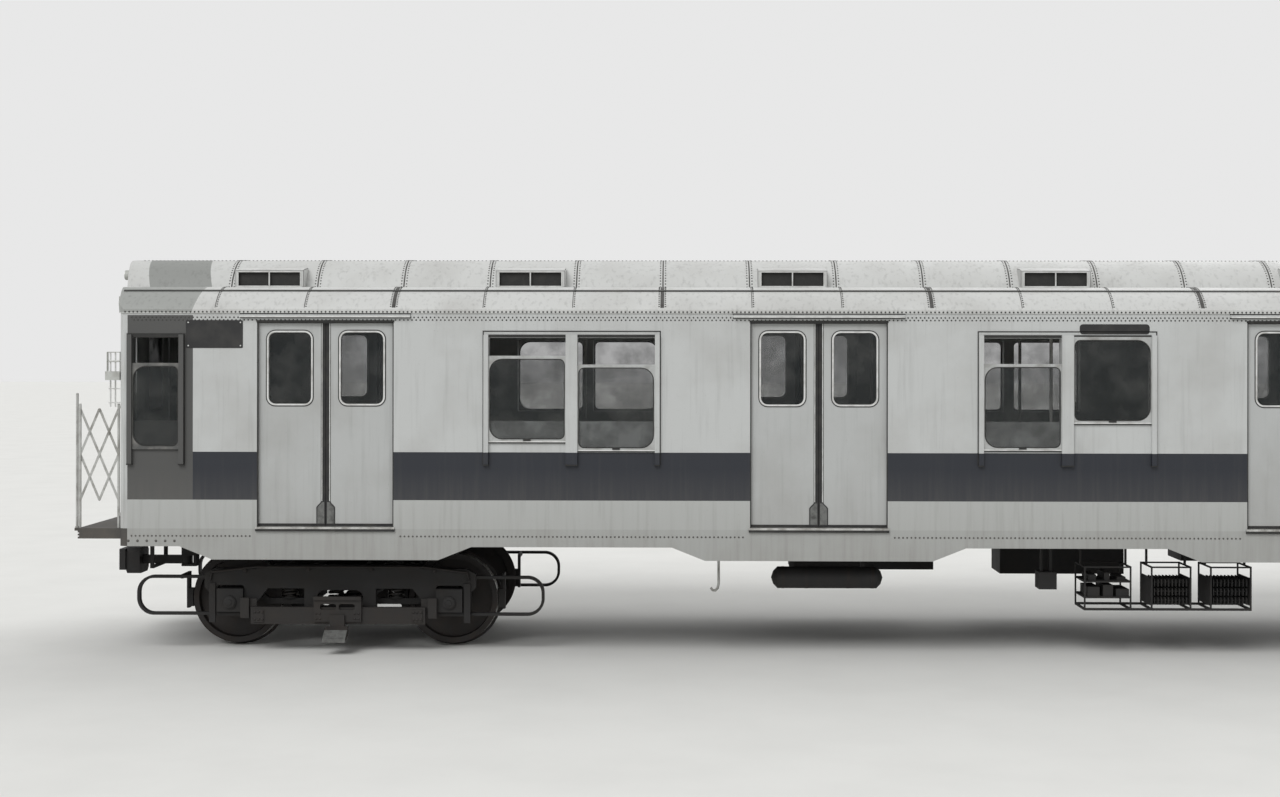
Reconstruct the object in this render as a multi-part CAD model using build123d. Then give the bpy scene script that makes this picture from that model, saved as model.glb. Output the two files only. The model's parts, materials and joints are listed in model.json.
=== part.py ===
from build123d import *
import os
from math import atan2, degrees, hypot, radians, sin

# Rapid transit car for standard gauge track, with four double doorways a side.
# X runs along the car and its photographed end points to -X. Y runs across, Z is up.
# Heights are above the rail. The flanges hang lower, and save() lifts every piece so that they end at Z = 0.

os.makedirs("parts", exist_ok=True)

# Track and wheels
flange_depth = 28
tread_radius = 432
back_to_back = 1360
wheel_width = 140
journal_radius = 66
bearing_fit = 0.05
axle_radius = 75

# Trucks
truck_centres = 13590
wheelbase = 2083
frame_inner = 1000
frame_thickness = 100
pedestal_gap = 260
pedestal_leg = 70
pedestal_bottom = 330
pedestal_top = 590
box_slack = 5
equalizer_y = 935
equalizer_thickness = 60
bolster_half_length = 985
bolster_half_width = 190
bolster_top = 800
transom_start = 240
transom_end = 340
seat_gap = 0.3
loop_y = (1020, 1080)
loop_z = (302, 678)
loop_reach = 1940
loop_bar = 26
loop_corner = 160
brake_hanger_y = (735, 810)
brake_hanger_x = (541, 1516)
brake_hanger_thickness = 25
brake_gap = 6
spring_radius = 78
spring_wire = 20
spring_x = 511
spring_y = 917
spring_foot = 458
bolster_spring_radius = 80
bolster_spring_y = 815
pivot_radius = 150
pivot_gap = 0.3

# Body shell
floor_height = 1165
floor_thickness = 60
half_width = 1490
wall_thickness = 100
sheet_thickness = 20
door_height = 1915
header_height = floor_height + door_height
eave_height = header_height + 85
side_end = 8700
corner_x = 8770
corner_radius = 68
end_flat_x = 8930
end_flat_half = 640
end_wall_thickness = 60
sill_bottom = 1000
bearer_bottom = 1025
bearer_half = half_width - 95
guide_depth = 34

# Roof
eave_half = half_width + 10
cove_start = eave_height + 35
cove_rise = 210
shelf_half = 1000
shelf_height = cove_start + cove_rise
monitor_foot = 900
monitor_rise = 290
monitor_mid = (790, shelf_height + 0.57 * monitor_rise)
monitor_top = (570, shelf_height + monitor_rise)
crown_height = monitor_top[1] + 20
roof_thickness = 50

# Side doors
door_pitch = 4572
door_half = 635
leaf_thickness = 40
leaf_overlap = 20
leaf_travel = 605
meeting_gap = 3
leaf_clearance = 10
pocket_end_gap = 15
pocket_floor = 6
sill_plate = 18
leaf_lift = 6
tongue_thickness = 8
tongue_depth = 12
running_gap = 6
door_window_width = 400
door_window_height = 667
door_window_x = 336
door_window_z = header_height - 425
door_window_corner = 65
ledge_height = header_height + 32
ledge_thickness = 6
ledge_reach = 34
drip_reach = 790
roller_radius = 13
roller_gap = 0.3
hanger_thickness = 6

# Side windows
window_width = 717
window_height = 773
window_top = header_height - 142
window_bottom = window_top - window_height
window_corner = 12
pillar_width = 108
guide_width = 44
guide_foot = window_bottom - 398
sash_thickness = 12
sash_slack = 0.3
sash_rail = 28
sash_stile = 9
glass_thickness = 5
glass_slack = 0.3
cab_window_x = 8435
cab_window_width = 439

# End doors and end windows
end_door_half = 420
end_door_top = header_height + 20
end_leaf_thickness = 35
end_leaf_slack = 8
hinge_x = 8856
hinge_y = 430
hinge_pin_radius = 6
hinge_barrel_radius = 11
hinge_barrel_height = 90
hinge_heights = (floor_height + 335, header_height - 380)
end_door_light = (480, 760, header_height - 480)
end_window = (700, 1170, header_height - 680, header_height - 40)

# End platform, coupler and gates
platform_x = 9176
platform_half = half_width - 40
platform_depth = 100
coupler_pin_x = 8560
coupler_height = 705
coupler_face_x = 9200
coupler_pin_radius = 20
shank_half_width = 45
shank_half_height = 40
gate_y = half_width - 90
gate_post_x = 9198

# Ventilators, benches and underfloor
vent_count = 7
vent_pitch = 2500
vent_half = 330
vent_opening = 600
vent_mouth_z = (shelf_height + 25, shelf_height + 130)
seat_front = 850
bench_half = 1560
pole_y = 780
partition_x = 8150
step_top = 1360
step_bottom = 1050
step_height = 878
sash_outer_corner = 120
sash_inner_corner = 55
glass_inset = 4
hanger_places = (150, 500)
rack_x = ((200, 640), (822, 1197), (1371, 1755))
rack_y = (-1300, -900)
rack_top = 815
rack_bottom = 405
rack_bar = 14
grid_plates = 10

# How far each drop window is let down, pair by pair from -X
left_drops = ((180, 260), (250, 0), (120, 0))
closed_drops = ((0, 0), (0, 0), (0, 0))
left_cab_drops = (250, 0)

door_centres = [(number - 1.5) * door_pitch for number in range(4)]
pair_centres = [(number - 1) * door_pitch for number in range(3)]
sheet_inner = half_width - sheet_thickness
lining_y = half_width - wall_thickness
lining_outer = lining_y + sheet_thickness
leaf_inner_y = lining_outer + leaf_clearance
leaf_outer_y = leaf_inner_y + leaf_thickness
opening_x = (pillar_width + window_width) / 2
axle_x = wheelbase / 2
pocket_reach = door_half + leaf_overlap + leaf_travel + pocket_end_gap
wheel_outer = back_to_back / 2 + wheel_width
ends = (-1, 1)


def save(name, *pieces):
    """Write the pieces as one node, standing on the flange tips."""
    solids = [solid for piece in pieces for solid in piece.solids()]
    export_step(Pos(0, 0, flange_depth) * Compound(solids), f"parts/{name}.step")


def block(x, y, z):
    """Box between the two values of each pair."""
    sizes = [abs(high - low) for low, high in (x, y, z)]
    centre = [(high + low) / 2 for low, high in (x, y, z)]
    return Pos(*centre) * Box(*sizes)


def rod_x(x, y, z, radius):
    """Round bar along X."""
    return Pos((x[0] + x[1]) / 2, y, z) * Rot(0, 90, 0) * Cylinder(radius, x[1] - x[0])


def rod_y(x, y, z, radius):
    """Round bar along Y."""
    return Pos(x, (y[0] + y[1]) / 2, z) * Rot(90, 0, 0) * Cylinder(radius, y[1] - y[0])


def rod_z(x, y, z, radius):
    """Round bar along Z."""
    return Pos(x, y, (z[0] + z[1]) / 2) * Cylinder(radius, z[1] - z[0])


def side_plate(points, y):
    """Outline given as (x, z), as thick as the pair y."""
    face = make_face(Polyline(*[(px, y[0], pz) for px, pz in points], close=True))
    return extrude(face, amount=y[1] - y[0], dir=(0, 1, 0))


def cross_plate(points, x):
    """Outline given as (y, z), as thick as the pair x."""
    face = make_face(Polyline(*[(x[0], py, pz) for py, pz in points], close=True))
    return extrude(face, amount=x[1] - x[0], dir=(1, 0, 0))


def side_hole(x, z, width, height, radius, y):
    """Round-cornered opening through a side wall."""
    plane = Plane(origin=(x, y[0], z), x_dir=(1, 0, 0), z_dir=(0, 1, 0))
    return extrude(plane * RectangleRounded(width, height, radius), amount=y[1] - y[0], dir=(0, 1, 0))


def end_hole(y, z, width, height, radius, x):
    """Round-cornered opening through an end wall."""
    plane = Plane(origin=(x[0], y, z), x_dir=(0, 1, 0), z_dir=(1, 0, 0))
    return extrude(plane * RectangleRounded(width, height, radius), amount=x[1] - x[0], dir=(1, 0, 0))


def strut(start, end, width, y):
    """Flat bar between two (x, z) points."""
    length = hypot(end[0] - start[0], end[1] - start[1])
    angle = degrees(atan2(end[1] - start[1], end[0] - start[0]))
    centre = Pos((start[0] + end[0]) / 2, (y[0] + y[1]) / 2, (start[1] + end[1]) / 2)
    return centre * Rot(0, -angle, 0) * Box(length, y[1] - y[0], width)


def other_side(shape):
    return mirror(shape, about=Plane.XZ)


def other_end(shape):
    """The ends are alike, turned half round."""
    return Rot(0, 0, 180) * shape


def plan_prism(inset, z, cut_corners=False):
    """The body seen from above: straight sides and a three-part end, drawn in by inset."""
    side = half_width - inset
    points = [
        (corner_x - inset, side),
        (end_flat_x - inset, end_flat_half),
        (end_flat_x - inset, -end_flat_half),
        (corner_x - inset, -side),
        (-corner_x + inset, -side),
        (-end_flat_x + inset, -end_flat_half),
        (-end_flat_x + inset, end_flat_half),
        (-corner_x + inset, side),
    ]
    face = make_face(Polyline(*[(px, py, z[0]) for px, py in points], close=True))
    corners = [vertex for vertex in face.vertices() if abs(vertex.Y) > end_flat_half + 1]
    if cut_corners:
        face = chamfer(corners, corner_radius * 0.6)
    else:
        face = fillet(corners, max(corner_radius - inset, 5))
    return extrude(face, amount=z[1] - z[0], dir=(0, 0, 1))


def roof_face(inset, bottom):
    """Half-round coves, a shelf and the raised middle, drawn in by inset."""
    eave = eave_half - inset
    foot = monitor_foot - inset
    shelf = shelf_height - inset
    crown = crown_height - inset
    top = (monitor_top[0] - inset * 0.4, monitor_top[1] - inset)
    mid = (monitor_mid[0] - inset * 0.8, monitor_mid[1] - inset * 0.6)
    bulge = sin(radians(45))
    cove = (shelf_half + (eave - shelf_half) * bulge, cove_start + (shelf - cove_start) * bulge)
    edges = [Line((-eave, bottom), (eave, bottom))]
    for side in (1, -1):
        edges += [
            Line((side * eave, bottom), (side * eave, cove_start)),
            ThreePointArc((side * eave, cove_start), (side * cove[0], cove[1]), (side * shelf_half, shelf)),
            Line((side * shelf_half, shelf), (side * foot, shelf)),
            ThreePointArc((side * foot, shelf), (side * mid[0], mid[1]), (side * top[0], top[1])),
        ]
    edges.append(ThreePointArc(top, (0, crown), (-top[0], top[1])))
    return make_face(edges)


def roof_body(inset, bottom):
    face = Plane.YZ.offset(-end_flat_x - 50) * roof_face(inset, bottom)
    return extrude(face, amount=2 * (end_flat_x + 50), dir=(1, 0, 0))


# Shell


def side_panels():
    """Panels between the doorways, hollow where the door leaves slide in, with the window guides outside."""
    through = (lining_y - 10, half_width + 10)
    spans = [(-side_end, door_centres[0] - door_half)]
    spans += [(a + door_half, b - door_half) for a, b in zip(door_centres, door_centres[1:])]
    spans.append((door_centres[-1] + door_half, side_end))
    window_z = (window_bottom + window_top) / 2
    panels = []
    for start, end in spans:
        panel = block((start, end), (lining_y, half_width), (floor_height, header_height))
        for door in door_centres:
            for side in ends:
                reach = sorted((door + side * (door_half - 1), door + side * pocket_reach))
                if start - 2 < reach[0] and reach[1] < end + 2:
                    pocket_z = (floor_height + pocket_floor, header_height + 1)
                    panel -= block(reach, (lining_outer, sheet_inner), pocket_z)
        for pair in pair_centres:
            if start < pair < end:
                for side in ends:
                    x = pair + side * opening_x
                    panel -= side_hole(x, window_z, window_width, window_height, window_corner, through)
                panel += window_guides(pair, window_width + pillar_width / 2, pillar_width)
        for side in ends:
            x = side * cab_window_x
            if start < x < end:
                panel -= side_hole(x, window_z, cab_window_width, window_height, window_corner, through)
                panel += window_guides(x, cab_window_width / 2, 0)
        panels.append(panel)
    return panels


def window_guides(x, reach, pillar):
    """Upright channels that the drop windows run in."""
    y = (half_width - 1, half_width + guide_depth)
    z = (guide_foot, window_top + sash_rail)
    guides = block((x - reach - guide_width, x - reach), y, z)
    guides += block((x + reach, x + reach + guide_width), y, z)
    if pillar:
        guides += block((x - pillar / 2, x + pillar / 2), y, z)
    return guides


def letterboard():
    """Band over the windows and doors, with the door tracks inside and a drip rail over each doorway."""
    board = block((-side_end, side_end), (lining_y, half_width), (header_height, eave_height))
    for door in door_centres:
        span = (door - pocket_reach, door + pocket_reach)
        board -= block(span, (lining_outer, sheet_inner), (header_height - 1, eave_height - 15))
        board += block(span, (lining_outer - 1, lining_outer + ledge_reach),
                       (ledge_height, ledge_height + ledge_thickness))
        drip = [(half_width - 1, header_height + 48), (half_width + 30, header_height + 54),
                (half_width + 30, header_height + 66), (half_width - 1, header_height + 76)]
        board += cross_plate(drip, (door - drip_reach, door + drip_reach))
    return board


def end_wall():
    """End at +X: a flat middle with the doorway, angled sides with a window each, rounded corners."""
    shell = plan_prism(0, (floor_height, crown_height))
    shell -= plan_prism(end_wall_thickness, (0, 2 * crown_height))
    under_roof = roof_body(roof_thickness, eave_height - 1)
    below = block((-platform_x, platform_x), (-half_width - 5, half_width + 5), (0, eave_height))
    shell &= below + under_roof
    shell &= block((side_end, platform_x), (-2000, 2000), (0, 2 * crown_height))
    shell -= block((side_end + 50, platform_x), (-end_door_half, end_door_half),
                   (floor_height - 1, end_door_top))
    low, high, bottom, top = end_window
    for side in ends:
        shell -= end_hole(side * (low + high) / 2, (bottom + top) / 2, high - low, top - bottom, 60,
                          (side_end, platform_x))
    for z in hinge_heights:
        for step in (-1, 1):
            edge = z + step * (hinge_barrel_height / 2 + 8)
            shell += block((hinge_x - hinge_barrel_radius, end_flat_x - end_wall_thickness + 1),
                           (end_door_half + 1, hinge_y + 25), (edge - 6, edge + 6))
        shell += rod_z(hinge_x, hinge_y, (z - hinge_barrel_height / 2 - 8, z + hinge_barrel_height / 2 + 8),
                       hinge_pin_radius)
    return shell


def end_door():
    """Hinged end door with a drop window, hung inside the doorway at +X."""
    x = (end_flat_x - 15 - end_leaf_thickness, end_flat_x - 15)
    reach = end_door_half - end_leaf_slack
    leaf = block(x, (-reach, reach), (floor_height + 7, end_door_top - 8))
    width, height, middle = end_door_light
    leaf -= end_hole(0, middle, width, height, 60, (x[0] - 10, x[1] + 10))
    for z in hinge_heights:
        half = hinge_barrel_height / 2
        leaf += block((hinge_x, x[0] + 2), (reach - 60, reach), (z - half, z + half))
        leaf += block((hinge_x - 5, hinge_x + 5), (reach - 30, hinge_y), (z - half, z + half))
        leaf += rod_z(hinge_x, hinge_y, (z - half, z + half), hinge_barrel_radius)
        leaf -= rod_z(hinge_x, hinge_y, (z - half - 1, z + half + 1), hinge_pin_radius + bearing_fit)
    return leaf


def roof():
    """Hollow roof of two tiers with a flat hood at each end."""
    shell = roof_body(0, eave_height) - roof_body(roof_thickness, eave_height - 100)
    return shell & plan_prism(half_width - eave_half, (eave_height, crown_height + 10), cut_corners=True)


def roof_vents():
    """Scoop-shaped ventilators along both sides of the raised middle."""
    section = [(780, shelf_height - 10), (985, shelf_height + 2), (985, shelf_height + 135),
               (950, shelf_height + 162), (780, shelf_height + 200)]
    roof_solid = roof_body(0, eave_height)
    vents = []
    for number in range(vent_count):
        x = (number - (vent_count - 1) / 2) * vent_pitch
        vent = cross_plate(section, (x - vent_half, x + vent_half))
        for side in ends:
            middle = x + side * (vent_opening / 4 + 3)
            vent -= vent_mouth(middle, vent_opening / 2 - 6)
        vent -= roof_solid
        vents += [vent, other_side(vent)]
    return vents


def vent_mouth(x, width):
    """Mouth of one half of a ventilator."""
    return block((x - width / 2, x + width / 2), (900, 1000), vent_mouth_z)


# Windows


def sash(x, side, drop, width):
    """Drop window frame outside the sheet, with wide outer corners."""
    y = (half_width + 2, half_width + 2 + sash_thickness)
    low = window_bottom - sash_rail / 2 - drop
    high = window_top + sash_rail / 2 - drop
    half = width / 2 - sash_slack
    frame = block((x - half, x + half), y, (low, high))
    return frame - sash_light(x, side, drop, width, 0, (y[0] - 5, y[1] + 5))


def sash_light(x, side, drop, width, slack, y):
    """The glazed area of one drop window: wide corners on the side away from the pillar."""
    low = window_bottom + sash_rail / 2 - drop + slack
    high = window_top - sash_rail / 2 - drop - slack
    half = width / 2 - sash_slack - sash_stile - slack
    points = [(x - half, low), (x + half, low), (x + half, high), (x - half, high)]
    face = make_face(Polyline(*[(px, y[0], pz) for px, pz in points], close=True))
    for corner_side, radius in ((side, sash_outer_corner), (-side, sash_inner_corner)):
        corners = [vertex for vertex in face.vertices()
                   if abs(vertex.X - x - corner_side * half) < 0.01 and
                   min(abs(vertex.Z - low), abs(vertex.Z - high)) < 0.01]
        face = fillet(corners, radius)
    return extrude(face, amount=y[1] - y[0], dir=(0, 1, 0))


def side_windows(pair_drops, cab_drops):
    """Sashes and panes of one side, as (x, side, drop, width) rows."""
    rows = []
    for pair, drops in zip(pair_centres, pair_drops):
        rows += [(pair + side * opening_x, side, drop, window_width) for side, drop in zip(ends, drops)]
    rows += [(side * cab_window_x, side, drop, cab_window_width) for side, drop in zip(ends, cab_drops)]
    sashes = [sash(*row) for row in rows]
    y = (half_width + 2 + glass_inset, half_width + 2 + glass_inset + glass_thickness)
    panes = [sash_light(*row, glass_slack, y) for row in rows]
    return sashes, panes


def end_panes():
    """Panes of the end windows, in the thickness of the angled walls."""
    low, high, bottom, top = end_window
    inset = end_wall_thickness / 2
    shell = plan_prism(inset, (bottom + glass_slack, top - glass_slack))
    shell -= plan_prism(inset + glass_thickness, (0, 2 * crown_height))
    panes = []
    for side in ends:
        reach = sorted((side * (low + glass_slack), side * (high - glass_slack)))
        panes.append(shell & end_hole(sum(reach) / 2, (bottom + top) / 2, reach[1] - reach[0],
                                      top - bottom - 2 * glass_slack, 60 - glass_slack,
                                      (side_end, platform_x)))
    return panes


# Side doors


def door_leaf(door, side):
    """Sliding leaf with its window, two roller hangers above and a guide tongue below."""
    low = floor_height + sill_plate + leaf_lift
    high = header_height + 15
    inner = meeting_gap
    outer = door_half + leaf_overlap
    y = (leaf_inner_y, leaf_outer_y)
    leaf = block(sorted((door + side * inner, door + side * outer)), y, (low, high))
    leaf -= side_hole(door + side * door_window_x, door_window_z, door_window_width, door_window_height,
                      door_window_corner, (y[0] - 5, y[1] + 5))
    middle_y = (lining_outer + sheet_inner) / 2
    leaf += block(sorted((door + side * (inner + 20), door + side * (outer - 20))),
                  (middle_y - tongue_thickness / 2, middle_y + tongue_thickness / 2),
                  (low - tongue_depth, low + 1))
    roller_z = ledge_height + ledge_thickness + roller_gap + roller_radius
    hanger_inner = lining_outer + ledge_reach + running_gap
    hanger_y = (hanger_inner, hanger_inner + hanger_thickness)
    for reach in hanger_places:
        x = door + side * reach
        leaf += block((x - 35, x + 35), hanger_y, (high - 1, roller_z + roller_radius))
        leaf += rod_y(x, (lining_outer + 8, hanger_y[0] + 1), roller_z, roller_radius)
    return leaf


def door_sills():
    """Grooved threshold plate in each doorway, with a lip outside the sheet."""
    middle_y = (lining_outer + sheet_inner) / 2
    groove = tongue_thickness / 2 + running_gap
    sills = []
    for door in door_centres:
        plate = block((door - door_half + 1, door + door_half - 1), (lining_y, half_width + 1),
                      (floor_height, floor_height + sill_plate))
        plate -= block((door - door_half, door + door_half), (middle_y - groove, middle_y + groove),
                       (floor_height + pocket_floor, floor_height + sill_plate + 1))
        plate += block((door - door_half - 10, door + door_half + 10), (half_width + 0.3, half_width + 18),
                       (floor_height - 8, floor_height + sill_plate))
        sills += [plate, other_side(plate)]
    return sills


# Underframe


def underframe():
    """Floor, centre sill, body bolsters with centre plates, cross bearers and coupler anchors."""
    top = floor_height - floor_thickness
    frame = plan_prism(end_wall_thickness + 1, (top, floor_height))
    frame += block((-8300, 8300), (-150, 150), (950, top + 1))
    for number in range(9):
        x = (number - 4) * 1130
        frame += block((x - 40, x + 40), (-bearer_half, bearer_half), (bearer_bottom, top + 1))
    for side in ends:
        x = side * truck_centres / 2
        bolster = [(-bearer_half, top + 1), (-bearer_half, 1040), (-640, 841), (640, 841),
                   (bearer_half, 1040), (bearer_half, top + 1)]
        frame += cross_plate(bolster, (x - 160, x + 160))
        frame += rod_z(x, 0, (bolster_top + pivot_gap, 900), pivot_radius)
        anchor = block((8455, 8605), (-60, 60), (746, top + 1))
        anchor += block((8455, 8485), (-60, 60), (640, 747))
        anchor += block((8455, 8605), (-60, 60), (640, 664))
        anchor += rod_z(coupler_pin_x, 0, (650, 760), coupler_pin_radius)
        anchor += block((8600, 8869), (-90, 90), (1010, top + 1))
        carrier = block((8830, 8868), (-240, 240), (640, coupler_height - shank_half_height - 0.3))
        for edge in ends:
            carrier += block((8830, 8868), sorted((edge * 220, edge * 240)), (640, top + 1))
        frame += anchor + carrier if side > 0 else other_end(anchor + carrier)
    return frame


def side_sill():
    """Channel along the side with a deeper plate under each doorway."""
    sill = block((-side_end, side_end), (sheet_inner, half_width), (sill_bottom, floor_height))
    sill += block((-side_end, side_end), (half_width - end_wall_thickness, sheet_inner + 1),
                  (floor_height - floor_thickness, floor_height))
    sill += block((-side_end, side_end), (half_width - 90, sheet_inner + 1), (sill_bottom, sill_bottom + 12))
    for door in door_centres:
        step = [(door - step_top, sill_bottom + 1), (door - step_bottom, step_height),
                (door + step_bottom, step_height), (door + step_top, sill_bottom + 1)]
        sill += side_plate(step, (sheet_inner, half_width))
    return sill


def end_platform():
    """End sill, standing platform and its grooved front edge at +X."""
    outline = plan_prism(0, (sill_bottom, floor_height)) - plan_prism(end_wall_thickness, (0, 2000))
    sill = outline & block((side_end, platform_x), (-2000, 2000), (0, 2000))
    deck = block((side_end, platform_x), (-platform_half, platform_half),
                 (floor_height - platform_depth, floor_height - 4))
    deck -= plan_prism(0, (0, 2000))
    for number in range(3):
        z = floor_height - platform_depth + 16 + number * 28
        deck -= block((platform_x - 14, platform_x + 1), (-platform_half, platform_half), (z, z + 12))
    for side in ends:
        deck += block((platform_x - 60, gate_post_x + 18),
                      sorted((side * (gate_y - 20), side * (gate_y + 20))),
                      (floor_height - 30, floor_height - 4))
    return sill + deck


def coupler():
    """Drawbar and coupler head, on a vertical pin at +X."""
    shank_z = (coupler_height - shank_half_height, coupler_height + shank_half_height)
    bar = block((coupler_pin_x, coupler_face_x - 200), (-shank_half_width, shank_half_width), shank_z)
    bar += rod_z(coupler_pin_x, 0, shank_z, 56)
    bar -= rod_z(coupler_pin_x, 0, (0, 1000), coupler_pin_radius + bearing_fit)
    bar -= block((coupler_pin_x - 60, coupler_pin_x - 45), (-60, 60), (600, 800))
    head = block((coupler_face_x - 200, coupler_face_x - 60), (-150, 150),
                 (coupler_height - 130, coupler_height + 130))
    head = chamfer(head.edges().filter_by(Axis.X), 40)
    head += block((coupler_face_x - 61, coupler_face_x), (-170, 170),
                  (coupler_height - 90, coupler_height + 120))
    head -= block((coupler_face_x - 45, coupler_face_x + 1), (60, 120),
                  (coupler_height - 50, coupler_height + 60))
    head += rod_x((coupler_face_x - 62, coupler_face_x - 1), -90, coupler_height, 34)
    return bar + head


def end_gate():
    """Folding lattice gate with its corner post and outer pole, at the +X, +Y corner."""
    inner_x = corner_x + 40
    outer_x = gate_post_x - 28
    y = (gate_y - 5, gate_y + 5)
    gate = rod_z(gate_post_x, gate_y, (floor_height - 4, 2420), 13)
    for x in (inner_x, outer_x):
        gate += block((x - 9, x + 9), (gate_y - 9, gate_y + 9), (floor_height - 3, 2320))
    cells = 2
    height = (2270 - 1420) / cells
    for cell in range(cells):
        z = 1420 + cell * height
        gate += strut((inner_x, z), (outer_x, z + height), 22, y)
        gate += strut((inner_x, z + height), (outer_x, z), 22, y)
    for z in (1300, 2300):
        gate += block((outer_x, gate_post_x), (gate_y - 4, gate_y + 4), (z - 8, z + 8))
        gate += block((corner_x, inner_x), (gate_y - 12, gate_y + 12), (z - 25, z + 5))
    return gate - plan_prism(0, (0, 2 * crown_height))


def end_fittings():
    """Blank sign boxes, lamps, horn and door control boxes at +X."""
    hood_face = plan_prism(0, (0, 2 * crown_height))
    roof_shell = roof()
    fittings = []
    for low, high in ((50, 570), (-350, -40)):
        box = block((end_flat_x - 30, end_flat_x + 18), (low, high), (shelf_height - 125, shelf_height + 220))
        box -= block((end_flat_x + 6, end_flat_x + 30), (low + 25, high - 25),
                     (shelf_height - 100, shelf_height + 195))
        fittings.append(box - hood_face)
    for side in ends:
        lens_z = shelf_height + 140
        fittings.append(rod_x((end_flat_x - 60, end_flat_x + 30), side * 720, lens_z, 48) - hood_face)
        lamp = block((end_flat_x - 160, end_flat_x - 45), sorted((side * 1035, side * 1165)),
                     (cove_start + 5, cove_start + 130))
        fittings.append(lamp - hood_face)
        control = block((corner_x - 40, corner_x + 200),
                        sorted((side * (half_width - 140), side * (half_width - 20))),
                        (header_height - 540, header_height - 120))
        fittings.append(control - hood_face)
    horn_z = shelf_height + 40
    horn = rod_x((8350, 8400), -1150, horn_z, 30)
    horn += Pos(8540, -1150, horn_z) * Rot(0, 90, 0) * Cone(18, 44, 280)
    horn += block((8420, 8450), (-1170, -1130), (shelf_height - 80, horn_z - 10))
    fittings.append(horn)
    return [fitting - roof_shell for fitting in fittings]


# Interior


def seats():
    """Lengthwise benches between the doorways: a box, a cushion and a back."""
    kick = seat_front + 80
    back_top = floor_height + 895
    section = [(lining_y - 1, floor_height), (kick, floor_height), (kick, floor_height + 335),
               (seat_front, floor_height + 355), (seat_front, floor_height + 435),
               (lining_y - 110, floor_height + 405), (lining_y - 70, back_top), (lining_y - 1, back_top)]
    benches = []
    for pair in pair_centres:
        benches.append(cross_plate(section, (pair - bench_half, pair + bench_half)))
    for side in ends:
        span = sorted((side * (door_centres[-1] + door_half + 90), side * (partition_x - 20)))
        benches.append(cross_plate(section, span))
    return benches + [other_side(bench) for bench in benches]


def grab_poles():
    """Floor-to-ceiling poles in front of the benches."""
    top = crown_height - roof_thickness
    room = roof_body(roof_thickness, 0)
    poles = []
    for pair in pair_centres:
        for reach in (-bench_half, 0, bench_half):
            for side in ends:
                poles.append(rod_z(pair + reach, side * pole_y, (floor_height, top), 16) & room)
    return poles


def cab_partitions():
    """Cross walls behind the cabs, with the end doorway's passage between them."""
    room = roof_body(roof_thickness + 1, floor_height)
    walls = []
    for end in ends:
        for side in ends:
            wall = block(sorted((end * partition_x, end * (partition_x + 30))),
                         sorted((side * (end_door_half + 20), side * (lining_y - 1))),
                         (floor_height, crown_height - 120))
            walls.append(wall & room)
    return walls


# Underfloor equipment


def equipment():
    """Air reservoir, switch rack, resistor grids, small box, and the plain boxes of the far side."""
    top = floor_height - floor_thickness
    pieces = []
    radius = 102
    tank = [(-2710, 0), (-2690, 60), (-2650, radius), (-1720, radius), (-1680, 60), (-1660, 0)]
    shell = make_face(Polyline(*[(x, r) for x, r in tank], close=True))
    tank = Pos(0, -1150, 687) * revolve(shell, Axis.X)
    for x in (-2520, -1850):
        tank += block((x - 20, x + 20), (-1170, -1130), (760, top))
    pieces.append(tank)
    rack = hung_frame(*rack_x[0])
    low, high = rack_x[0]
    for z in (518, 665):
        rack += block((low, high), rack_y, (z, z + 12))
    for x, width, height in ((240, 110, 90), (385, 90, 110), (505, 120, 70)):
        rack += block((x, x + width), (rack_y[0] + 30, rack_y[1] - 60), (529, 530 + height))
        rack += block((x + 15, x + width - 25), (rack_y[0] + 60, rack_y[1] - 60), (676, 640 + height))
    for span in rack_x[1:]:
        rack += hung_frame(*span) + resistor_grid(*span)
    for y in (rack_y[0], rack_y[1] - rack_bar):
        rack += block((rack_x[0][0], rack_x[-1][1]), (y, y + rack_bar), (rack_bottom, rack_bottom + 22))
    pieces.append(rack)
    box = block((-197, -33), (-1200, -1000), (586, 745))
    for x in (-170, -80):
        box += block((x, x + 20), (-1120, -1080), (744, top))
    pieces.append(box)
    for low, high, bottom in ((-2400, -900, 520), (-200, 1100, 480), (1700, 2600, 620)):
        pieces.append(block((low, high), (820, 1320), (bottom, bearer_bottom)))
    return pieces


def hung_frame(low, high):
    """Open frame of thin bars on two hangers under the floor."""
    frame = block((low, high), rack_y, (rack_top - rack_bar, rack_top))
    frame -= block((low + rack_bar, high - rack_bar),
                   (rack_y[0] + rack_bar, rack_y[1] - rack_bar), (700, 900))
    for x in (low, high - rack_bar):
        for y in (rack_y[0], rack_y[1] - rack_bar):
            frame += block((x, x + rack_bar), (y, y + rack_bar), (rack_bottom, rack_top))
        frame += block((x, x + rack_bar), rack_y, (rack_bottom, rack_bottom + 22))
        frame += block((x, x + rack_bar), (-1120, -1080), (rack_top - 1, floor_height - floor_thickness))
    return frame


def resistor_grid(low, high):
    """Three tiers of thin plates on rods between two end plates."""
    y = (rack_y[0] + rack_bar - 1, rack_y[1] - rack_bar + 1)
    grid = block((low, low + rack_bar), y, (450, 706)) + block((high - rack_bar, high), y, (450, 706))
    for tier in range(3):
        z = 492 + tier * 84
        for rod in (-1230, -970):
            grid += rod_x((low + 1, high - 1), rod, z, 8)
        for number in range(grid_plates):
            x = low + 34 + number * (high - low - 76) / (grid_plates - 1)
            grid += block((x, x + 8), (y[0] + 10, y[1] - 10), (z - 33, z + 33))
    return grid


# Trucks, modelled about their own centre and then moved to the car's ends


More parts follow.
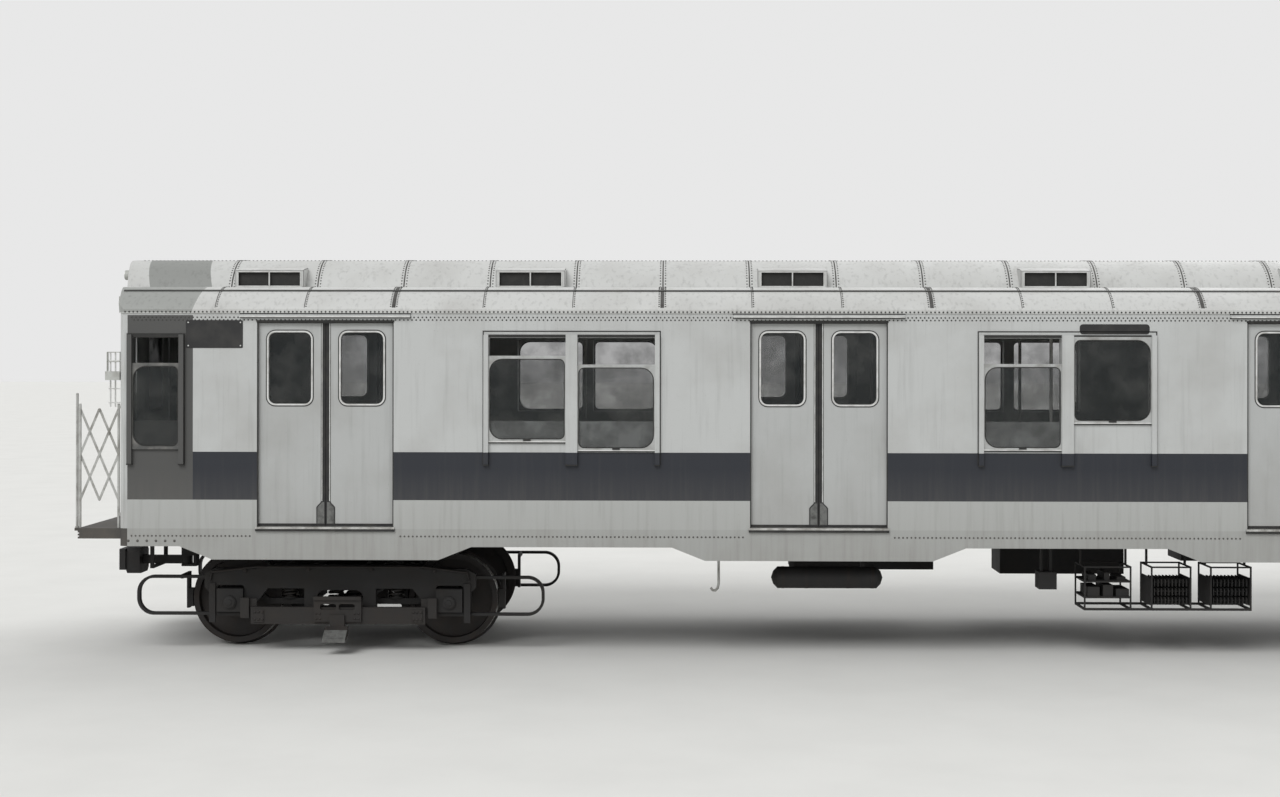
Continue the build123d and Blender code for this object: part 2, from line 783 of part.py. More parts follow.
def truck_frame():
    """Cast frame: side members with pedestals, transoms, spring plank, guard loops and brake shoes."""
    outer = frame_inner + frame_thickness
    y = (frame_inner, outer)
    jaw_inner = axle_x - pedestal_gap / 2
    jaw_outer = axle_x + pedestal_gap / 2
    leg = jaw_outer + pedestal_leg
    outline = [(-leg, pedestal_bottom), (leg, pedestal_bottom), (leg, 520), (1290, 570), (1290, 700),
               (1200, 745), (800, 745), (620, 780), (-620, 780), (-800, 745), (-1200, 745),
               (-1290, 700), (-1290, 570), (-leg, 520)]
    side = side_plate(outline, y)
    foot = jaw_inner - pedestal_leg
    window = [(340, 560), (690, 560), (800, 420), (foot, 400), (foot, 0), (340, 0)]
    through = (y[0] - 5, y[1] + 5)
    for end in ends:
        side -= side_hole(end * (jaw_inner + jaw_outer) / 2, (pedestal_top - 400) / 2, pedestal_gap,
                          pedestal_top + 400, 30, through)
        side -= side_plate([(end * x, z) for x, z in window], through)
        side += block(sorted((end * foot, end * leg)), y, (pedestal_bottom - 30, pedestal_bottom))
        side += block(sorted((end * (spring_x - spring_radius), end * (spring_x + spring_radius))),
                      (spring_y - spring_radius, frame_inner + 1), (600, 640))
        side += block(sorted((end * 1182, end * leg)), (outer - 1, outer + 24), (240, 610))
        side += end_loop() if end > 0 else other_end(other_side(end_loop()))
    side -= side_hole(0, 466, 440, 157, 75, through)
    frame = side + other_side(side)
    for end in ends:
        frame += block(sorted((end * transom_start, end * transom_end)), (-frame_inner - 1, frame_inner + 1),
                       (560, 740))
        for edge in ends:
            frame += brake(end, edge, brake_hanger_x[0], (frame_inner + 1, 605, 641))
            frame += brake(end, edge, brake_hanger_x[1], (loop_y[0] + 1, 640, loop_z[1]))
    frame += block((-150, 150), (-frame_inner - 1, frame_inner + 1), (340, 375))
    return frame


def end_loop():
    """Rounded guard bar round the end of the side member, at +X."""
    start = axle_x + pedestal_gap / 2 + pedestal_leg - 5
    middle = (loop_z[0] + loop_z[1]) / 2
    height = loop_z[1] - loop_z[0]
    loop = side_hole(loop_reach / 2, middle, loop_reach, height, loop_corner, loop_y)
    loop -= side_hole(loop_reach / 2, middle, loop_reach - 2 * loop_bar, height - 2 * loop_bar,
                      loop_corner - loop_bar, (loop_y[0] - 5, loop_y[1] + 5))
    return loop & block((start, loop_reach + 1), loop_y, loop_z)


def brake(end, edge, x, bracket):
    """Hanger and shoe at one side of a wheel, on a bracket given as its reach in Y and its two heights."""
    reach, low, high = bracket
    span = sorted((end * x, end * (x + brake_hanger_thickness)))
    corner = sorted((edge * brake_hanger_y[0], edge * brake_hanger_y[1]))
    part = block(span, corner, (330, high))
    part += block(span, sorted((edge * brake_hanger_y[0], edge * reach)), (low, high))
    inward = 1 if x < axle_x else -1
    face = x + brake_hanger_thickness if x < axle_x else x
    shoe = block(sorted((end * (face - inward), end * (face + inward * 60))), corner, (345, 519))
    shoe -= rod_y(end * axle_x, (-1000, 1000), tread_radius, tread_radius + 3 + brake_gap)
    return part + shoe


def axle_boxes():
    """On each side two bearing boxes and the drop equalizer bar that rests on them."""
    y = (equalizer_y - 45, 1135)
    bar_y = (equalizer_y - equalizer_thickness / 2, equalizer_y + equalizer_thickness / 2)
    half = pedestal_gap / 2 - box_slack
    bar = [(-1110, 559), (-935, 559), (-730, 395), (730, 395), (935, 559), (1110, 559),
           (1110, 615), (905, 615), (705, 450), (-705, 450), (-905, 615), (-1110, 615)]
    side = side_plate(bar, bar_y)
    for end in ends:
        x = end * axle_x
        side += block((x - half, x + half), y, (340, 560))
        side -= rod_y(x, (y[0] - 1, 1105), tread_radius, journal_radius + bearing_fit)
        side += rod_y(x, (1134, 1150), tread_radius, 62)
        side += rod_z(end * spring_x, spring_y, (449, spring_foot), spring_radius)
    return [side, other_side(side)]


def springs():
    """Coil springs over the equalizers and under the bolster, as grooved stacks."""
    stacks = []
    for end in ends:
        for side in ends:
            stacks.append(coil_stack(end * spring_x, side * spring_y, (spring_foot, 600), spring_radius))
            stacks.append(coil_stack(end * 90, side * bolster_spring_y, (375, 600), bolster_spring_radius))
    return stacks


def coil_stack(x, y, z, radius):
    """One spring as two round bodies with a smaller core between them."""
    stack = rod_z(x, y, z, radius - spring_wire)
    middle = (z[0] + z[1]) / 2
    for low, high in ((z[0] + spring_wire, middle - spring_wire / 2),
                      (middle + spring_wire / 2, z[1] - spring_wire)):
        stack += rod_z(x, y, (low, high), radius)
    return stack


def bolster():
    """Swinging cross beam with the centre bowl and side bearers."""
    section = [(-bolster_half_length, 600), (-700, 600), (-560, 560), (560, 560), (700, 600),
               (bolster_half_length, 600), (bolster_half_length, 740), (300, bolster_top),
               (-300, bolster_top), (-bolster_half_length, 740)]
    beam = cross_plate(section, (-bolster_half_width, bolster_half_width))
    ring = rod_z(0, 0, (bolster_top - 1, bolster_top + 15), pivot_radius + 32)
    beam += ring - rod_z(0, 0, (bolster_top - 2, bolster_top + 20), pivot_radius + running_gap)
    for side in ends:
        beam += block((-60, 60), sorted((side * 500, side * 620)), (740, 835))
    return beam


def motors():
    """Axle-hung motors as plain blocks, each with a gear case round its axle."""
    units = []
    for end in ends:
        body = rod_y(end * 620, (-340, 300), 470, 235)
        body += block(sorted((end * 395, end * 845)), (-300, 260), (330, 660))
        case = side_plate([(end * 560, 300), (end * 560, 600), (end * (axle_x + 60), 640),
                           (end * (axle_x + 190), 520), (end * (axle_x + 190), 300),
                           (end * (axle_x + 60), 215)], (330, 450))
        case -= rod_y(end * axle_x, (300, 500), tread_radius, axle_radius + running_gap)
        body += block(sorted((end * 580, end * 800)), (250, 335), (400, 560))
        nose = sorted((end * (transom_end + seat_gap), end * 400))
        body += block(nose, (-100, 60), (590, 650))
        units.append(body + case)
    return units


def shoe_beams():
    """Timber beam on each side with its brackets, and the sliding contact shoe in a holder at its middle."""
    back = 1150
    front = back + 50
    beam = block((-825, 825), (back, front), (236, 396))
    for end in ends:
        beam += block(sorted((end * 780, end * 930)), (back - 15, back + 1), (300, 470))
        beam += block(sorted((end * 848, end * 930)), (back - 1, front - 20), (290, 480))
        beam += block(sorted((end * 700, end * 800)), (front - 1, front + 8), (256, 376))
    holder = block((-225, 225), (front - 1, front + 24), (262, 500))
    for end in ends:
        holder -= side_hole(end * 88, 402, 152, 54, 20, (front - 60, front + 50))
    holder += block((-225, 225), (front - 1, front + 42), (468, 500))
    holder += block((-70, 70), (front - 1, front + 45), (150, 330))
    arm = [(front + 44, 160), (front + 44, 225), (front + 100, 195),
           (1400, 128), (1400, 96), (front + 100, 130)]
    beam += holder + cross_plate(arm, (-108, 108))
    return [beam, other_side(beam)]


def wheelset():
    """Axle and its two flanged wheels, turned about the axle's line."""
    inner = back_to_back / 2
    flange = tread_radius + flange_depth
    half = [(0, axle_radius), (inner - 40, axle_radius), (inner - 40, 115), (inner + 42, 125),
            (inner + 52, 370), (inner, 378), (inner, flange - 14), (inner + 10, flange),
            (inner + 22, flange), (inner + 36, tread_radius + 3),
            (wheel_outer, tread_radius - 3), (wheel_outer, 378), (inner + 82, 370), (inner + 70, 125),
            (wheel_outer + 12, 112), (wheel_outer + 12, journal_radius), (1098, journal_radius)]
    points = [(1098, 0)] + half[::-1] + [(-y, r) for y, r in half[1:]] + [(-1098, 0)]
    face = make_face(Polyline(*[(r, y) for y, r in points], close=True))
    return Pos(0, 0, tread_radius) * revolve(face, Axis.Y)


def main():
    panels = side_panels()
    save("side_panels_right", *panels)
    save("side_panels_left", *[other_side(panel) for panel in panels])
    board = letterboard()
    save("letterboard_right", board)
    save("letterboard_left", other_side(board))
    wall = end_wall()
    save("end_wall_rear", wall)
    save("end_wall_front", other_end(wall))
    door = end_door()
    save("end_door_rear", door)
    save("end_door_front", other_end(door))
    save("roof", roof())
    save("roof_vents", *roof_vents())
    left_sashes, left_panes = side_windows(left_drops, left_cab_drops)
    right_sashes, right_panes = side_windows(closed_drops, (0, 0))
    save("sashes_left", *[other_side(piece) for piece in left_sashes])
    save("sashes_right", *right_sashes)
    ends_glass = end_panes()
    glass = [other_side(piece) for piece in left_panes] + right_panes
    save("window_glass", *glass, *ends_glass, *[other_end(piece) for piece in ends_glass])
    for number, centre in enumerate(door_centres, 1):
        for word, side in (("fore", -1), ("aft", 1)):
            leaf = door_leaf(centre, side)
            save(f"door_right_{number}_{word}", leaf)
            save(f"door_left_{number}_{word}", other_side(leaf))
    save("door_sills", *door_sills())
    save("underframe", underframe())
    sill = side_sill()
    save("side_sills", sill, other_side(sill))
    platform = end_platform()
    save("end_platforms", platform, other_end(platform))
    save("coupler_rear", coupler())
    save("coupler_front", other_end(coupler()))
    gate = end_gate()
    gates = [gate, other_side(gate)]
    save("end_gates", *gates, *[other_end(piece) for piece in gates])
    fittings = end_fittings()
    save("end_fittings", *fittings, *[other_end(piece) for piece in fittings])
    save("seats", *seats())
    save("grab_poles", *grab_poles())
    save("cab_partitions", *cab_partitions())
    save("underfloor_equipment", *equipment())
    for word, end in (("front", -1), ("rear", 1)):
        place = Pos(end * truck_centres / 2, 0, 0)
        save(f"truck_frame_{word}", place * truck_frame())
        save(f"axle_boxes_{word}", *[place * piece for piece in axle_boxes()])
        save(f"springs_{word}", *[place * piece for piece in springs()])
        save(f"bolster_{word}", place * bolster())
        save(f"motors_{word}", *[place * piece for piece in motors()])
        save(f"shoe_beams_{word}", *[place * piece for piece in shoe_beams()])
        for axle_word, axle in (("outer", end), ("inner", -end)):
            save(f"wheelset_{word}_{axle_word}", place * Pos(axle * axle_x, 0, 0) * wheelset())


main()
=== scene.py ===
import json
import math

import bpy
import numpy as np
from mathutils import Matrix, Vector
from mathutils.bvhtree import BVHTree


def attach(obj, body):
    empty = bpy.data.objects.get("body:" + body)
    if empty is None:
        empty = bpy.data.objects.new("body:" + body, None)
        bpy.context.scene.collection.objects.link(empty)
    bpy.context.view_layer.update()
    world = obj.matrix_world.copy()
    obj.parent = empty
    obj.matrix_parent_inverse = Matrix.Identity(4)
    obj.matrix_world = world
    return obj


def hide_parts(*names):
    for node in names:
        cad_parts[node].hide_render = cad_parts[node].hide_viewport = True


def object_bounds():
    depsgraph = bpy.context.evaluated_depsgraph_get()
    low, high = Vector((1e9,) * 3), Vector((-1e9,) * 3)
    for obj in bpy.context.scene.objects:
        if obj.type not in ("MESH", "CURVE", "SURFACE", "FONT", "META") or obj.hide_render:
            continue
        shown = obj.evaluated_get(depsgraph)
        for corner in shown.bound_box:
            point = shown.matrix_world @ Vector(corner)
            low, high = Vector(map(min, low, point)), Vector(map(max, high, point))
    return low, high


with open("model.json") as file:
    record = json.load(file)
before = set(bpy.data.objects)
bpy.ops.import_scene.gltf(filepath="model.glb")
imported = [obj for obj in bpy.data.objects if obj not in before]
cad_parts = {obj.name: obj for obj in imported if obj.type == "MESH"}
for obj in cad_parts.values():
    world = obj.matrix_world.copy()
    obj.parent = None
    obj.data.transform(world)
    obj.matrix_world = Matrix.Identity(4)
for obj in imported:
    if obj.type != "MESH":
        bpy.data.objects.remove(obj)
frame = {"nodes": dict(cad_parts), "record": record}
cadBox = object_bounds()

nodes = frame["nodes"]
print("frame loaded:", len(nodes), "nodes")

# Main places of the car in metres. Heights are from the flange tips, 28 mm below the rail head.
car = {
    "rail": 0.028,
    "sheetY": 1.490,
    "eaveY": 1.500,
    "doorPitch": 4.572,
    "leafOuterY": 1.460,
    "leafInnerY": 1.420,
    "sideEnd": 8.700,
    "flatX": 8.930,
    "truckX": 6.795,
    "axleX": 1.0415,
}
rail = car["rail"]
sunk = -0.001  # dressing starts 1 mm inside the sheet that it lies on
doorXs = [(number - 1.5) * car["doorPitch"] for number in range(4)]
pairXs = [(number - 1) * car["doorPitch"] for number in range(3)]
sideSigns = {"left": -1, "right": 1}
endSigns = {"front": -1, "rear": 1}
axisX, axisY, axisZ = np.eye(3)
noiseSpan = (0.2, 0.8)  # most values of a noise lie between these


def linearColour(code):
    # sRGB hex to linear RGBA: c/12.92 up to 0.04045, else ((c + 0.055)/1.055)^2.4
    values = [int(code[place:place + 2], 16) / 255 for place in (1, 3, 5)]
    return [v / 12.92 if v <= 0.04045 else ((v + 0.055) / 1.055) ** 2.4 for v in values] + [1.0]


def addNode(tree, kind, values=None, **settings):
    # Adds one shader node; values go to its sockets by name or number, as constants, hex colours or links.
    node = tree.nodes.new("ShaderNode" + kind)
    for key, value in settings.items():
        setattr(node, key, value)
    for key, value in (values or {}).items():
        if isinstance(value, bpy.types.NodeSocket):
            tree.links.new(value, node.inputs[key])
        else:
            node.inputs[key].default_value = linearColour(value) if isinstance(value, str) else value
    return next(output for output in node.outputs if output.enabled) if len(node.outputs) else node


def newMaterial(name):
    material = bpy.data.materials.new(name)
    material.use_nodes = True
    tree = material.node_tree
    tree.nodes.clear()
    shader = tree.nodes.new("ShaderNodeBsdfPrincipled")
    addNode(tree, "OutputMaterial", {"Surface": shader.outputs[0]})
    place = addNode(tree, "TexCoord").node.outputs["Object"]
    return material, tree, shader, place


def soiled(tree, place, colour, soil, sizeMm, low, high, amount, stretch=(1, 1, 1), shift=0.0):
    # Lays the soil colour over the colour where stretched noise of the given size is high.
    grid = addNode(tree, "Mapping", {"Vector": place, "Location": (shift, shift, shift),
                                     "Scale": [1000 / sizeMm / s for s in stretch]})
    noise = addNode(tree, "TexNoise", {"Vector": grid, "Scale": 1.0, "Detail": 4.0, "Roughness": 0.55})
    mask = addNode(tree, "MapRange", {0: noise, 1: low, 2: high, 3: 0.0, 4: amount})
    return addNode(tree, "Mix", {0: mask, 6: colour, 7: soil}, data_type="RGBA"), noise


def fromMiddle(tree, place):
    # Distance from the middle of the car, |x|.
    return addNode(tree, "Math", {0: addNode(tree, "SeparateXYZ", {0: place})}, operation="ABSOLUTE")


def painted(tree, colour, paint, *spans):
    # Paint over the colour where every value lies between its low and its high.
    mask = 1.0
    for value, low, high in spans:
        inside = addNode(tree, "Math", {0: value, 1: (low + high) / 2, 2: (high - low) / 2}, operation="COMPARE")
        mask = addNode(tree, "Math", {0: inside, 1: mask}, operation="MULTIPLY")
    return addNode(tree, "Mix", {0: mask, 6: colour, 7: paint}, data_type="RGBA")


# Sprayed body enamel on riveted steel sheet, chalked by weather and matt: rain streaks run down from the rivets,
# brake dust lies on the lower panels, and small rust specks break through.
enamel = {
    "body": "#bfc1c0",
    "belowBand": "#b2b4b2",
    "band": "#25282f",
    "cabBlock": "#4e4e4d",
    "doors": "#b3b5b4",
    "roof": "#c6c7c5",
    "skirt": "#aaacaa",
    # rivet heads are darker than the sheet round them: painted shade of their undersides
    "rivet": "#373836",
    "dust": "#85817b",
    "soot": "#4b4a47",
    "rust": "#5d4739",
    "bandLow": rail + 1.433,
    "bandHigh": rail + 1.878,
    "cabBlockX": 8.09,
    "cabBlockTop": rail + 3.146,
    "dustHeights": (1.75, 0.95),
    "dustUneven": (0.25, 0.65, 0.5, 1.0),
    # size in mm, limits of the noise and, for the clouds, the amount
    "clouds": (620, 0.45, 0.80, 0.30),
    "streaks": (36, 0.53, 0.82),
    "streakStretch": (1, 1, 22),
    "specks": (10, 0.66, 0.73),
    "speckShift": 3.1,
    "dentMm": 450,
    "sprayMm": 4,
    "sprayShare": 0.03,
    "relief": 0.006,
    "roughness": (0.44, 0.62),
    "specular": 0.42,
}
# Leaning painted-over patches at both ends of the roof: paint, from, to, foot, top, lean.
roofPatches = (
    ("#979996", 8.10, 9.00, 3.20, 3.445, 0.06),  # on the cove
    ("#8a8c89", 8.07, 8.67, 3.445, 3.80, -0.10),  # on the raised middle
)


def bodyFields(tree, place, height, colour):
    # Darker lower panels, the dark band, and the dark block round the cab window.
    low = enamel["bandLow"]
    colour = painted(tree, colour, enamel["belowBand"], (height, 0.0, low))
    colour = painted(tree, colour, enamel["band"], (height, low, enamel["bandHigh"]))
    return painted(tree, colour, enamel["cabBlock"], (height, low, enamel["cabBlockTop"]),
                   (fromMiddle(tree, place), enamel["cabBlockX"], car["sideEnd"]))


def roofFields(tree, place, height, colour):
    along = fromMiddle(tree, place)
    for paint, low, high, foot, top, lean in roofPatches:
        shift = addNode(tree, "MapRange", {0: height, 1: foot, 2: top, 3: 0.0, 4: lean})
        leaned = addNode(tree, "Math", {0: along, 1: shift}, operation="ADD")
        colour = painted(tree, colour, paint, (leaned, low, high), (height, foot, top))
    return colour


def chalkedEnamel(name, base, streaks=0.16, dustAmount=0.35, rustAmount=0.45, dents=0.35, fields=None):
    # Fields lays the painted areas over the base and its clouds, before the other soil.
    material, tree, shader, place = newMaterial(name)
    height = addNode(tree, "SeparateXYZ", {0: place}).node.outputs[2]
    colour, cloud = soiled(tree, place, enamel[base], enamel["dust"], *enamel["clouds"])
    if fields:
        colour = fields(tree, place, height, colour)
    colour, streak = soiled(tree, place, colour, enamel["soot"], *enamel["streaks"], streaks, enamel["streakStretch"])
    top, full = enamel["dustHeights"]
    low = addNode(tree, "MapRange", {0: height, 1: top, 2: full, 3: 0.0, 4: dustAmount})
    clean, dirty, least, most = enamel["dustUneven"]
    uneven = addNode(tree, "MapRange", {0: streak, 1: clean, 2: dirty, 3: least, 4: most})
    dusty = addNode(tree, "Math", {0: low, 1: uneven}, operation="MULTIPLY")
    colour = addNode(tree, "Mix", {0: dusty, 6: colour, 7: enamel["dust"]}, data_type="RGBA")
    colour = soiled(tree, place, colour, enamel["rust"], *enamel["specks"], rustAmount, shift=enamel["speckShift"])[0]
    tree.links.new(colour, shader.inputs["Base Color"])
    smooth, rough = enamel["roughness"]
    rough = addNode(tree, "MapRange", {0: cloud, 1: noiseSpan[0], 2: noiseSpan[1], 3: smooth, 4: rough})
    tree.links.new(rough, shader.inputs["Roughness"])
    shader.inputs["Specular IOR Level"].default_value = enamel["specular"]
    wave = addNode(tree, "TexNoise", {"Vector": place, "Scale": 1000 / enamel["dentMm"], "Detail": 1.0})
    spray = addNode(tree, "TexNoise", {"Vector": place, "Scale": 1000 / enamel["sprayMm"], "Detail": 2.0})
    relief = addNode(tree, "Math", {0: spray, 1: enamel["sprayShare"], 2: wave}, operation="MULTIPLY_ADD")
    bump = addNode(tree, "Bump", {"Strength": dents, "Distance": enamel["relief"], "Height": relief})
    tree.links.new(bump, shader.inputs["Normal"])
    return material


# Noise limits and amounts of soil on every worked material, and how far its clouds change the roughness.
wear = {"clouds": (0.42, 0.72, 0.8), "grain": (0.50, 0.80, 0.4), "grainShift": 2.2, "roughness": (-0.07, 0.12)}


def workedSurface(name, base, soil, roughness, metallic, grainMm, cloudMm, relief, reliefMm, stretch=(1, 1, 1),
                  cabColour=None):
    # Metal, rubber, timber or moulding: soil in clouds over the base colour and a fine grain in the relief.
    # With cabColour the parts beside the cabs have that colour instead.
    material, tree, shader, place = newMaterial(name)
    if cabColour:
        base = painted(tree, base, cabColour, (fromMiddle(tree, place), enamel["cabBlockX"], car["sideEnd"]))
    colour, cloud = soiled(tree, place, base, soil, cloudMm, *wear["clouds"])
    colour, grain = soiled(tree, place, colour, soil, grainMm, *wear["grain"], stretch, wear["grainShift"])
    tree.links.new(colour, shader.inputs["Base Color"])
    smooth, rough = (roughness + change for change in wear["roughness"])
    rough = addNode(tree, "MapRange", {0: cloud, 1: noiseSpan[0], 2: noiseSpan[1], 3: smooth, 4: rough})
    tree.links.new(rough, shader.inputs["Roughness"])
    shader.inputs["Metallic"].default_value = metallic
    bump = addNode(tree, "Bump", {"Strength": relief, "Distance": reliefMm / 1000, "Height": grain})
    tree.links.new(bump, shader.inputs["Normal"])
    return material


# Laminated window glass: clear, a little grey, with dried dust that hides part of the inside.
windowPane = {
    "tint": "#24292a",
    "dust": "#6e6d69",
    "dustNoise": (220, 0.42, 0.85, 0.35),
    "cover": (0.4, 0.8, 0.25),
    "roughness": 0.06,
    "alphas": {"windowGlass": 0.32, "endGlass": 0.80},
}


def dustyGlass(name, alpha):
    material, tree, shader, place = newMaterial(name)
    colour, dust = soiled(tree, place, windowPane["tint"], windowPane["dust"], *windowPane["dustNoise"])
    tree.links.new(colour, shader.inputs["Base Color"])
    low, high, more = windowPane["cover"]
    cover = addNode(tree, "MapRange", {0: dust, 1: low, 2: high, 3: alpha, 4: alpha + more})
    tree.links.new(cover, shader.inputs["Alpha"])
    shader.inputs["Roughness"].default_value = windowPane["roughness"]
    return material


sprayed = {
    "bodyEnamel": {"base": "body", "fields": bodyFields},
    "endEnamel": {"base": "body", "streaks": 0.45},
    "doorEnamel": {"base": "doors", "streaks": 0.14, "dents": 0.18},
    "roofEnamel": {"base": "roof", "streaks": 0.32, "dustAmount": 0.0, "rustAmount": 0.22, "fields": roofFields},
    "skirtEnamel": {"base": "skirt"},
    # rivet heads, in painted shade darker than the sheet they lie on
    "rivetShadeEnamel": {"base": "rivet", "streaks": 0.10, "dents": 0.0},
}
# Base, soil, roughness, metallic, grain and cloud in mm, relief and its depth in mm, stretch, colour at the cabs.
worked = {
    # Anodised aluminium, extruded: dull silver with fine length-wise lines.
    "sashAluminium": ("#b5b7b6", "#85837f", 0.42, 0.3, 6, 120, 0.15, 0.4, (1, 1, 1), "#525352"),
    # Polished aluminium trim, pressed: brighter and smoother than the sashes.
    "trimAluminium": ("#dcdddb", "#a9a8a4", 0.34, 0.3, 6, 90, 0.1, 0.3),
    # Rolled tread plate, worn bright by shoes.
    "treadSteel": ("#c6c6c3", "#76726c", 0.40, 0.4, 8, 90, 0.3, 0.8),
    # Black bitumen paint on structural steel, under brake dust.
    "trackBlack": ("#191818", "#2b2825", 0.74, 0.0, 12, 240, 0.4, 1.5),
    # Chequered platform steel, its paint trodden, darkened all over as painted shade.
    "platformSteelShaded": ("#454340", "#5b564f", 0.66, 0.0, 12, 180, 0.4, 1.2),
    # Sand-cast steel: coarse skin with oil and brake dust, its base darkened further as painted shade under the car.
    "castSteelShaded": ("#161515", "#25221f", 0.72, 0.0, 7, 200, 0.6, 2.0),
    # Wound spring bar, oiled: dark with a soft gloss.
    "springSteel": ("#262524", "#3f3934", 0.50, 0.2, 9, 90, 0.3, 0.8),
    # Rolled wheel steel with baked-on brake dust.
    "wheelSteel": ("#201d1c", "#322b26", 0.64, 0.2, 10, 160, 0.4, 1.2),
    # Oiled hardwood beam: long grain, almost black, partly as painted shade under the car.
    "oiledTimberShaded": ("#1c1917", "#2b2622", 0.68, 0.0, 4, 160, 0.5, 1.2, (30, 1, 1)),
    # Moulded seat shell of glass-filled plastic: low gloss, fine pebble.
    "seatPlastic": ("#d6d2ca", "#b3aea4", 0.50, 0.0, 4, 260, 0.25, 0.6),
    # White porcelain enamel fired on steel tube: pale and glossy.
    "poleEnamel": ("#d8d8d4", "#a6a39c", 0.28, 0.0, 10, 200, 0.1, 0.4),
    # Brushed-on satin enamel of the inside walls.
    "innerEnamel": ("#878a85", "#6a6963", 0.50, 0.0, 12, 420, 0.1, 0.6),
    # Galvanised gate steel, dull zinc with darker joints.
    "gateZinc": ("#b4b5b2", "#6d6961", 0.46, 0.3, 8, 120, 0.2, 0.6),
    # Grey machinery enamel on the boxes and lamps of the ends.
    "fittingEnamel": ("#bcbeba", "#85827b", 0.50, 0.0, 9, 160, 0.2, 0.8),
    # Extruded rubber nosing: black and dull, greyed by hands.
    "nosingRubber": ("#1e1e1f", "#3a3936", 0.78, 0.0, 4, 80, 0.3, 0.5),
    # Baked black enamel on flat plates.
    "plateEnamel": ("#1c1c1d", "#302f2d", 0.40, 0.0, 6, 120, 0.1, 0.3),
    # Rubbed guard plate steel, paint worn through to a dull grey.
    "guardSteel": ("#6f706e", "#3a3937", 0.48, 0.3, 9, 60, 0.3, 0.8),
    # Seam sealer, brushed into the laps of the roof sheets.
    "seamSealer": ("#4c4b49", "#343331", 0.70, 0.0, 9, 60, 0.4, 0.8),
    # Bitumen caulk run into open joints, and painted shadow in gaps and under ledges: near black.
    "caulkAndShadowBlack": ("#272726", "#3b3a38", 0.80, 0.0, 6, 70, 0.3, 0.5),
    # Pressed shutter sheet, stove enamelled grey.
    "shutterEnamel": ("#5c5c5a", "#4a4945", 0.60, 0.0, 9, 180, 0.2, 0.5),
    # Pressed lens glass, clear and ribbed, over a dull reflector.
    "lensGlass": ("#c9cbc6", "#8f8f8a", 0.15, 0.0, 5, 40, 0.5, 0.8),
}
finish = {name: chalkedEnamel(name, **row) for name, row in sprayed.items()}
finish |= {name: dustyGlass(name, alpha) for name, alpha in windowPane["alphas"].items()}
finish |= {name: workedSurface(name, *row) for name, row in worked.items()}

slotFinish = {
    "body_paint": "bodyEnamel", "door_paint": "doorEnamel", "roof_paint": "roofEnamel", "skirt_paint": "skirtEnamel",
    "sash_metal": "sashAluminium", "glass": "windowGlass", "worn_steel": "treadSteel",
    "underframe_paint": "trackBlack", "black_paint": "gateZinc", "fitting_paint": "fittingEnamel",
    "cast_steel": "castSteelShaded", "spring_steel": "springSteel", "wheel_steel": "wheelSteel",
    "oiled_timber": "oiledTimberShaded", "seat_cover": "seatPlastic", "pole_enamel": "poleEnamel",
    "interior_paint": "innerEnamel",
}
# Nodes whose names start so have a finish of their own.
ownFinish = {"end_wall": "endEnamel", "motors": "trackBlack", "end_platforms": "platformSteelShaded"}
for row in frame["record"]["subparts"]:
    name = row["node"]
    chosen = next((own for start, own in ownFinish.items() if name.startswith(start)),
                  slotFinish[row["material_slot"]])
    nodes[name].data.materials.clear()
    nodes[name].data.materials.append(finish[chosen])
print("materials on", len(nodes), "nodes")


# Shapes are pairs of a vertex array and a list of face arrays.


def newPiece(name, shapes, material, smooth=None, body="carbody"):
    # Joins the shapes into one mesh. Smooth is the angle in degrees past which an edge stays sharp.
    faces, start = [], 0
    for points, rows in shapes:
        faces += [face for row in rows for face in (row + start).tolist()]
        start += len(points)
    mesh = bpy.data.meshes.new(name)
    mesh.from_pydata(np.concatenate([points for points, rows in shapes]).tolist(), [], faces)
    mesh.materials.append(finish[material])
    if smooth:
        mesh.polygons.foreach_set("use_smooth", np.ones(len(mesh.polygons), bool))
        mesh.set_sharp_from_angle(angle=math.radians(smooth))
    mesh.update()
    piece = bpy.data.objects.new(name, mesh)
    bpy.context.scene.collection.objects.link(piece)
    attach(piece, body)
    return piece


def placed(shape, origin, u, v, w):
    # Local (u, v, w) to the frame: origin + a u + b v + c w, with u x v = w.
    points, faces = shape
    return np.asarray(origin, float) + points @ np.array([u, v, w], float), faces


def standing(shape, origin):
    return placed(shape, origin, axisX, axisY, axisZ)


def onSide(shape, side, u, z, y=car["sheetY"]):
    # Local u runs to the right as seen from outside, v up and w out of the side. A half turn maps side to side.
    sign = sideSigns[side]
    return placed(shape, (-sign * u, sign * y, z), -sign * axisX, axisZ, sign * axisY)


def onEnd(shape, end, u, z, x=car["flatX"]):
    sign = endSigns[end]
    return placed(shape, (sign * x, sign * u, z), sign * axisY, axisZ, sign * axisX)


def loopWalls(count, loops, closed=False):
    # Quads between neighbouring loops of equal count, counter-clockwise seen from outside.
    step = np.arange(count)
    after = (step + 1) % count
    rows = []
    for loop in range(loops if closed else loops - 1):
        low, high = loop * count, (loop + 1) % loops * count
        rows.append(np.stack([step + low, after + low, after + high, step + high], 1))
    return rows


def skinned(loops, closed=False):
    # Shape over loops of equal count. The last and the first are capped, unless they close on each other.
    loops = np.stack(loops)
    number, count = loops.shape[:2]
    cap = np.arange(count)[None]
    caps = [] if closed else [cap + (number - 1) * count, cap[:, ::-1]]
    return loops.reshape(-1, 3), loopWalls(count, number, closed) + caps


def roundedOutline(width, height, radius, steps=6, leftRadius=None):
    # Corner arcs of a rounded rectangle, counter-clockwise. The left corners may have a radius of their own.
    rows = []
    for quarter, (a, b) in enumerate(((1, 1), (-1, 1), (-1, -1), (1, -1))):
        turn = (np.linspace(0, 1, steps + 1) + quarter) * np.pi / 2
        r = leftRadius if leftRadius and a < 0 else radius
        rows.append(np.stack([a * (width / 2 - r) + r * np.cos(turn), b * (height / 2 - r) + r * np.sin(turn)], 1))
    return np.concatenate(rows)


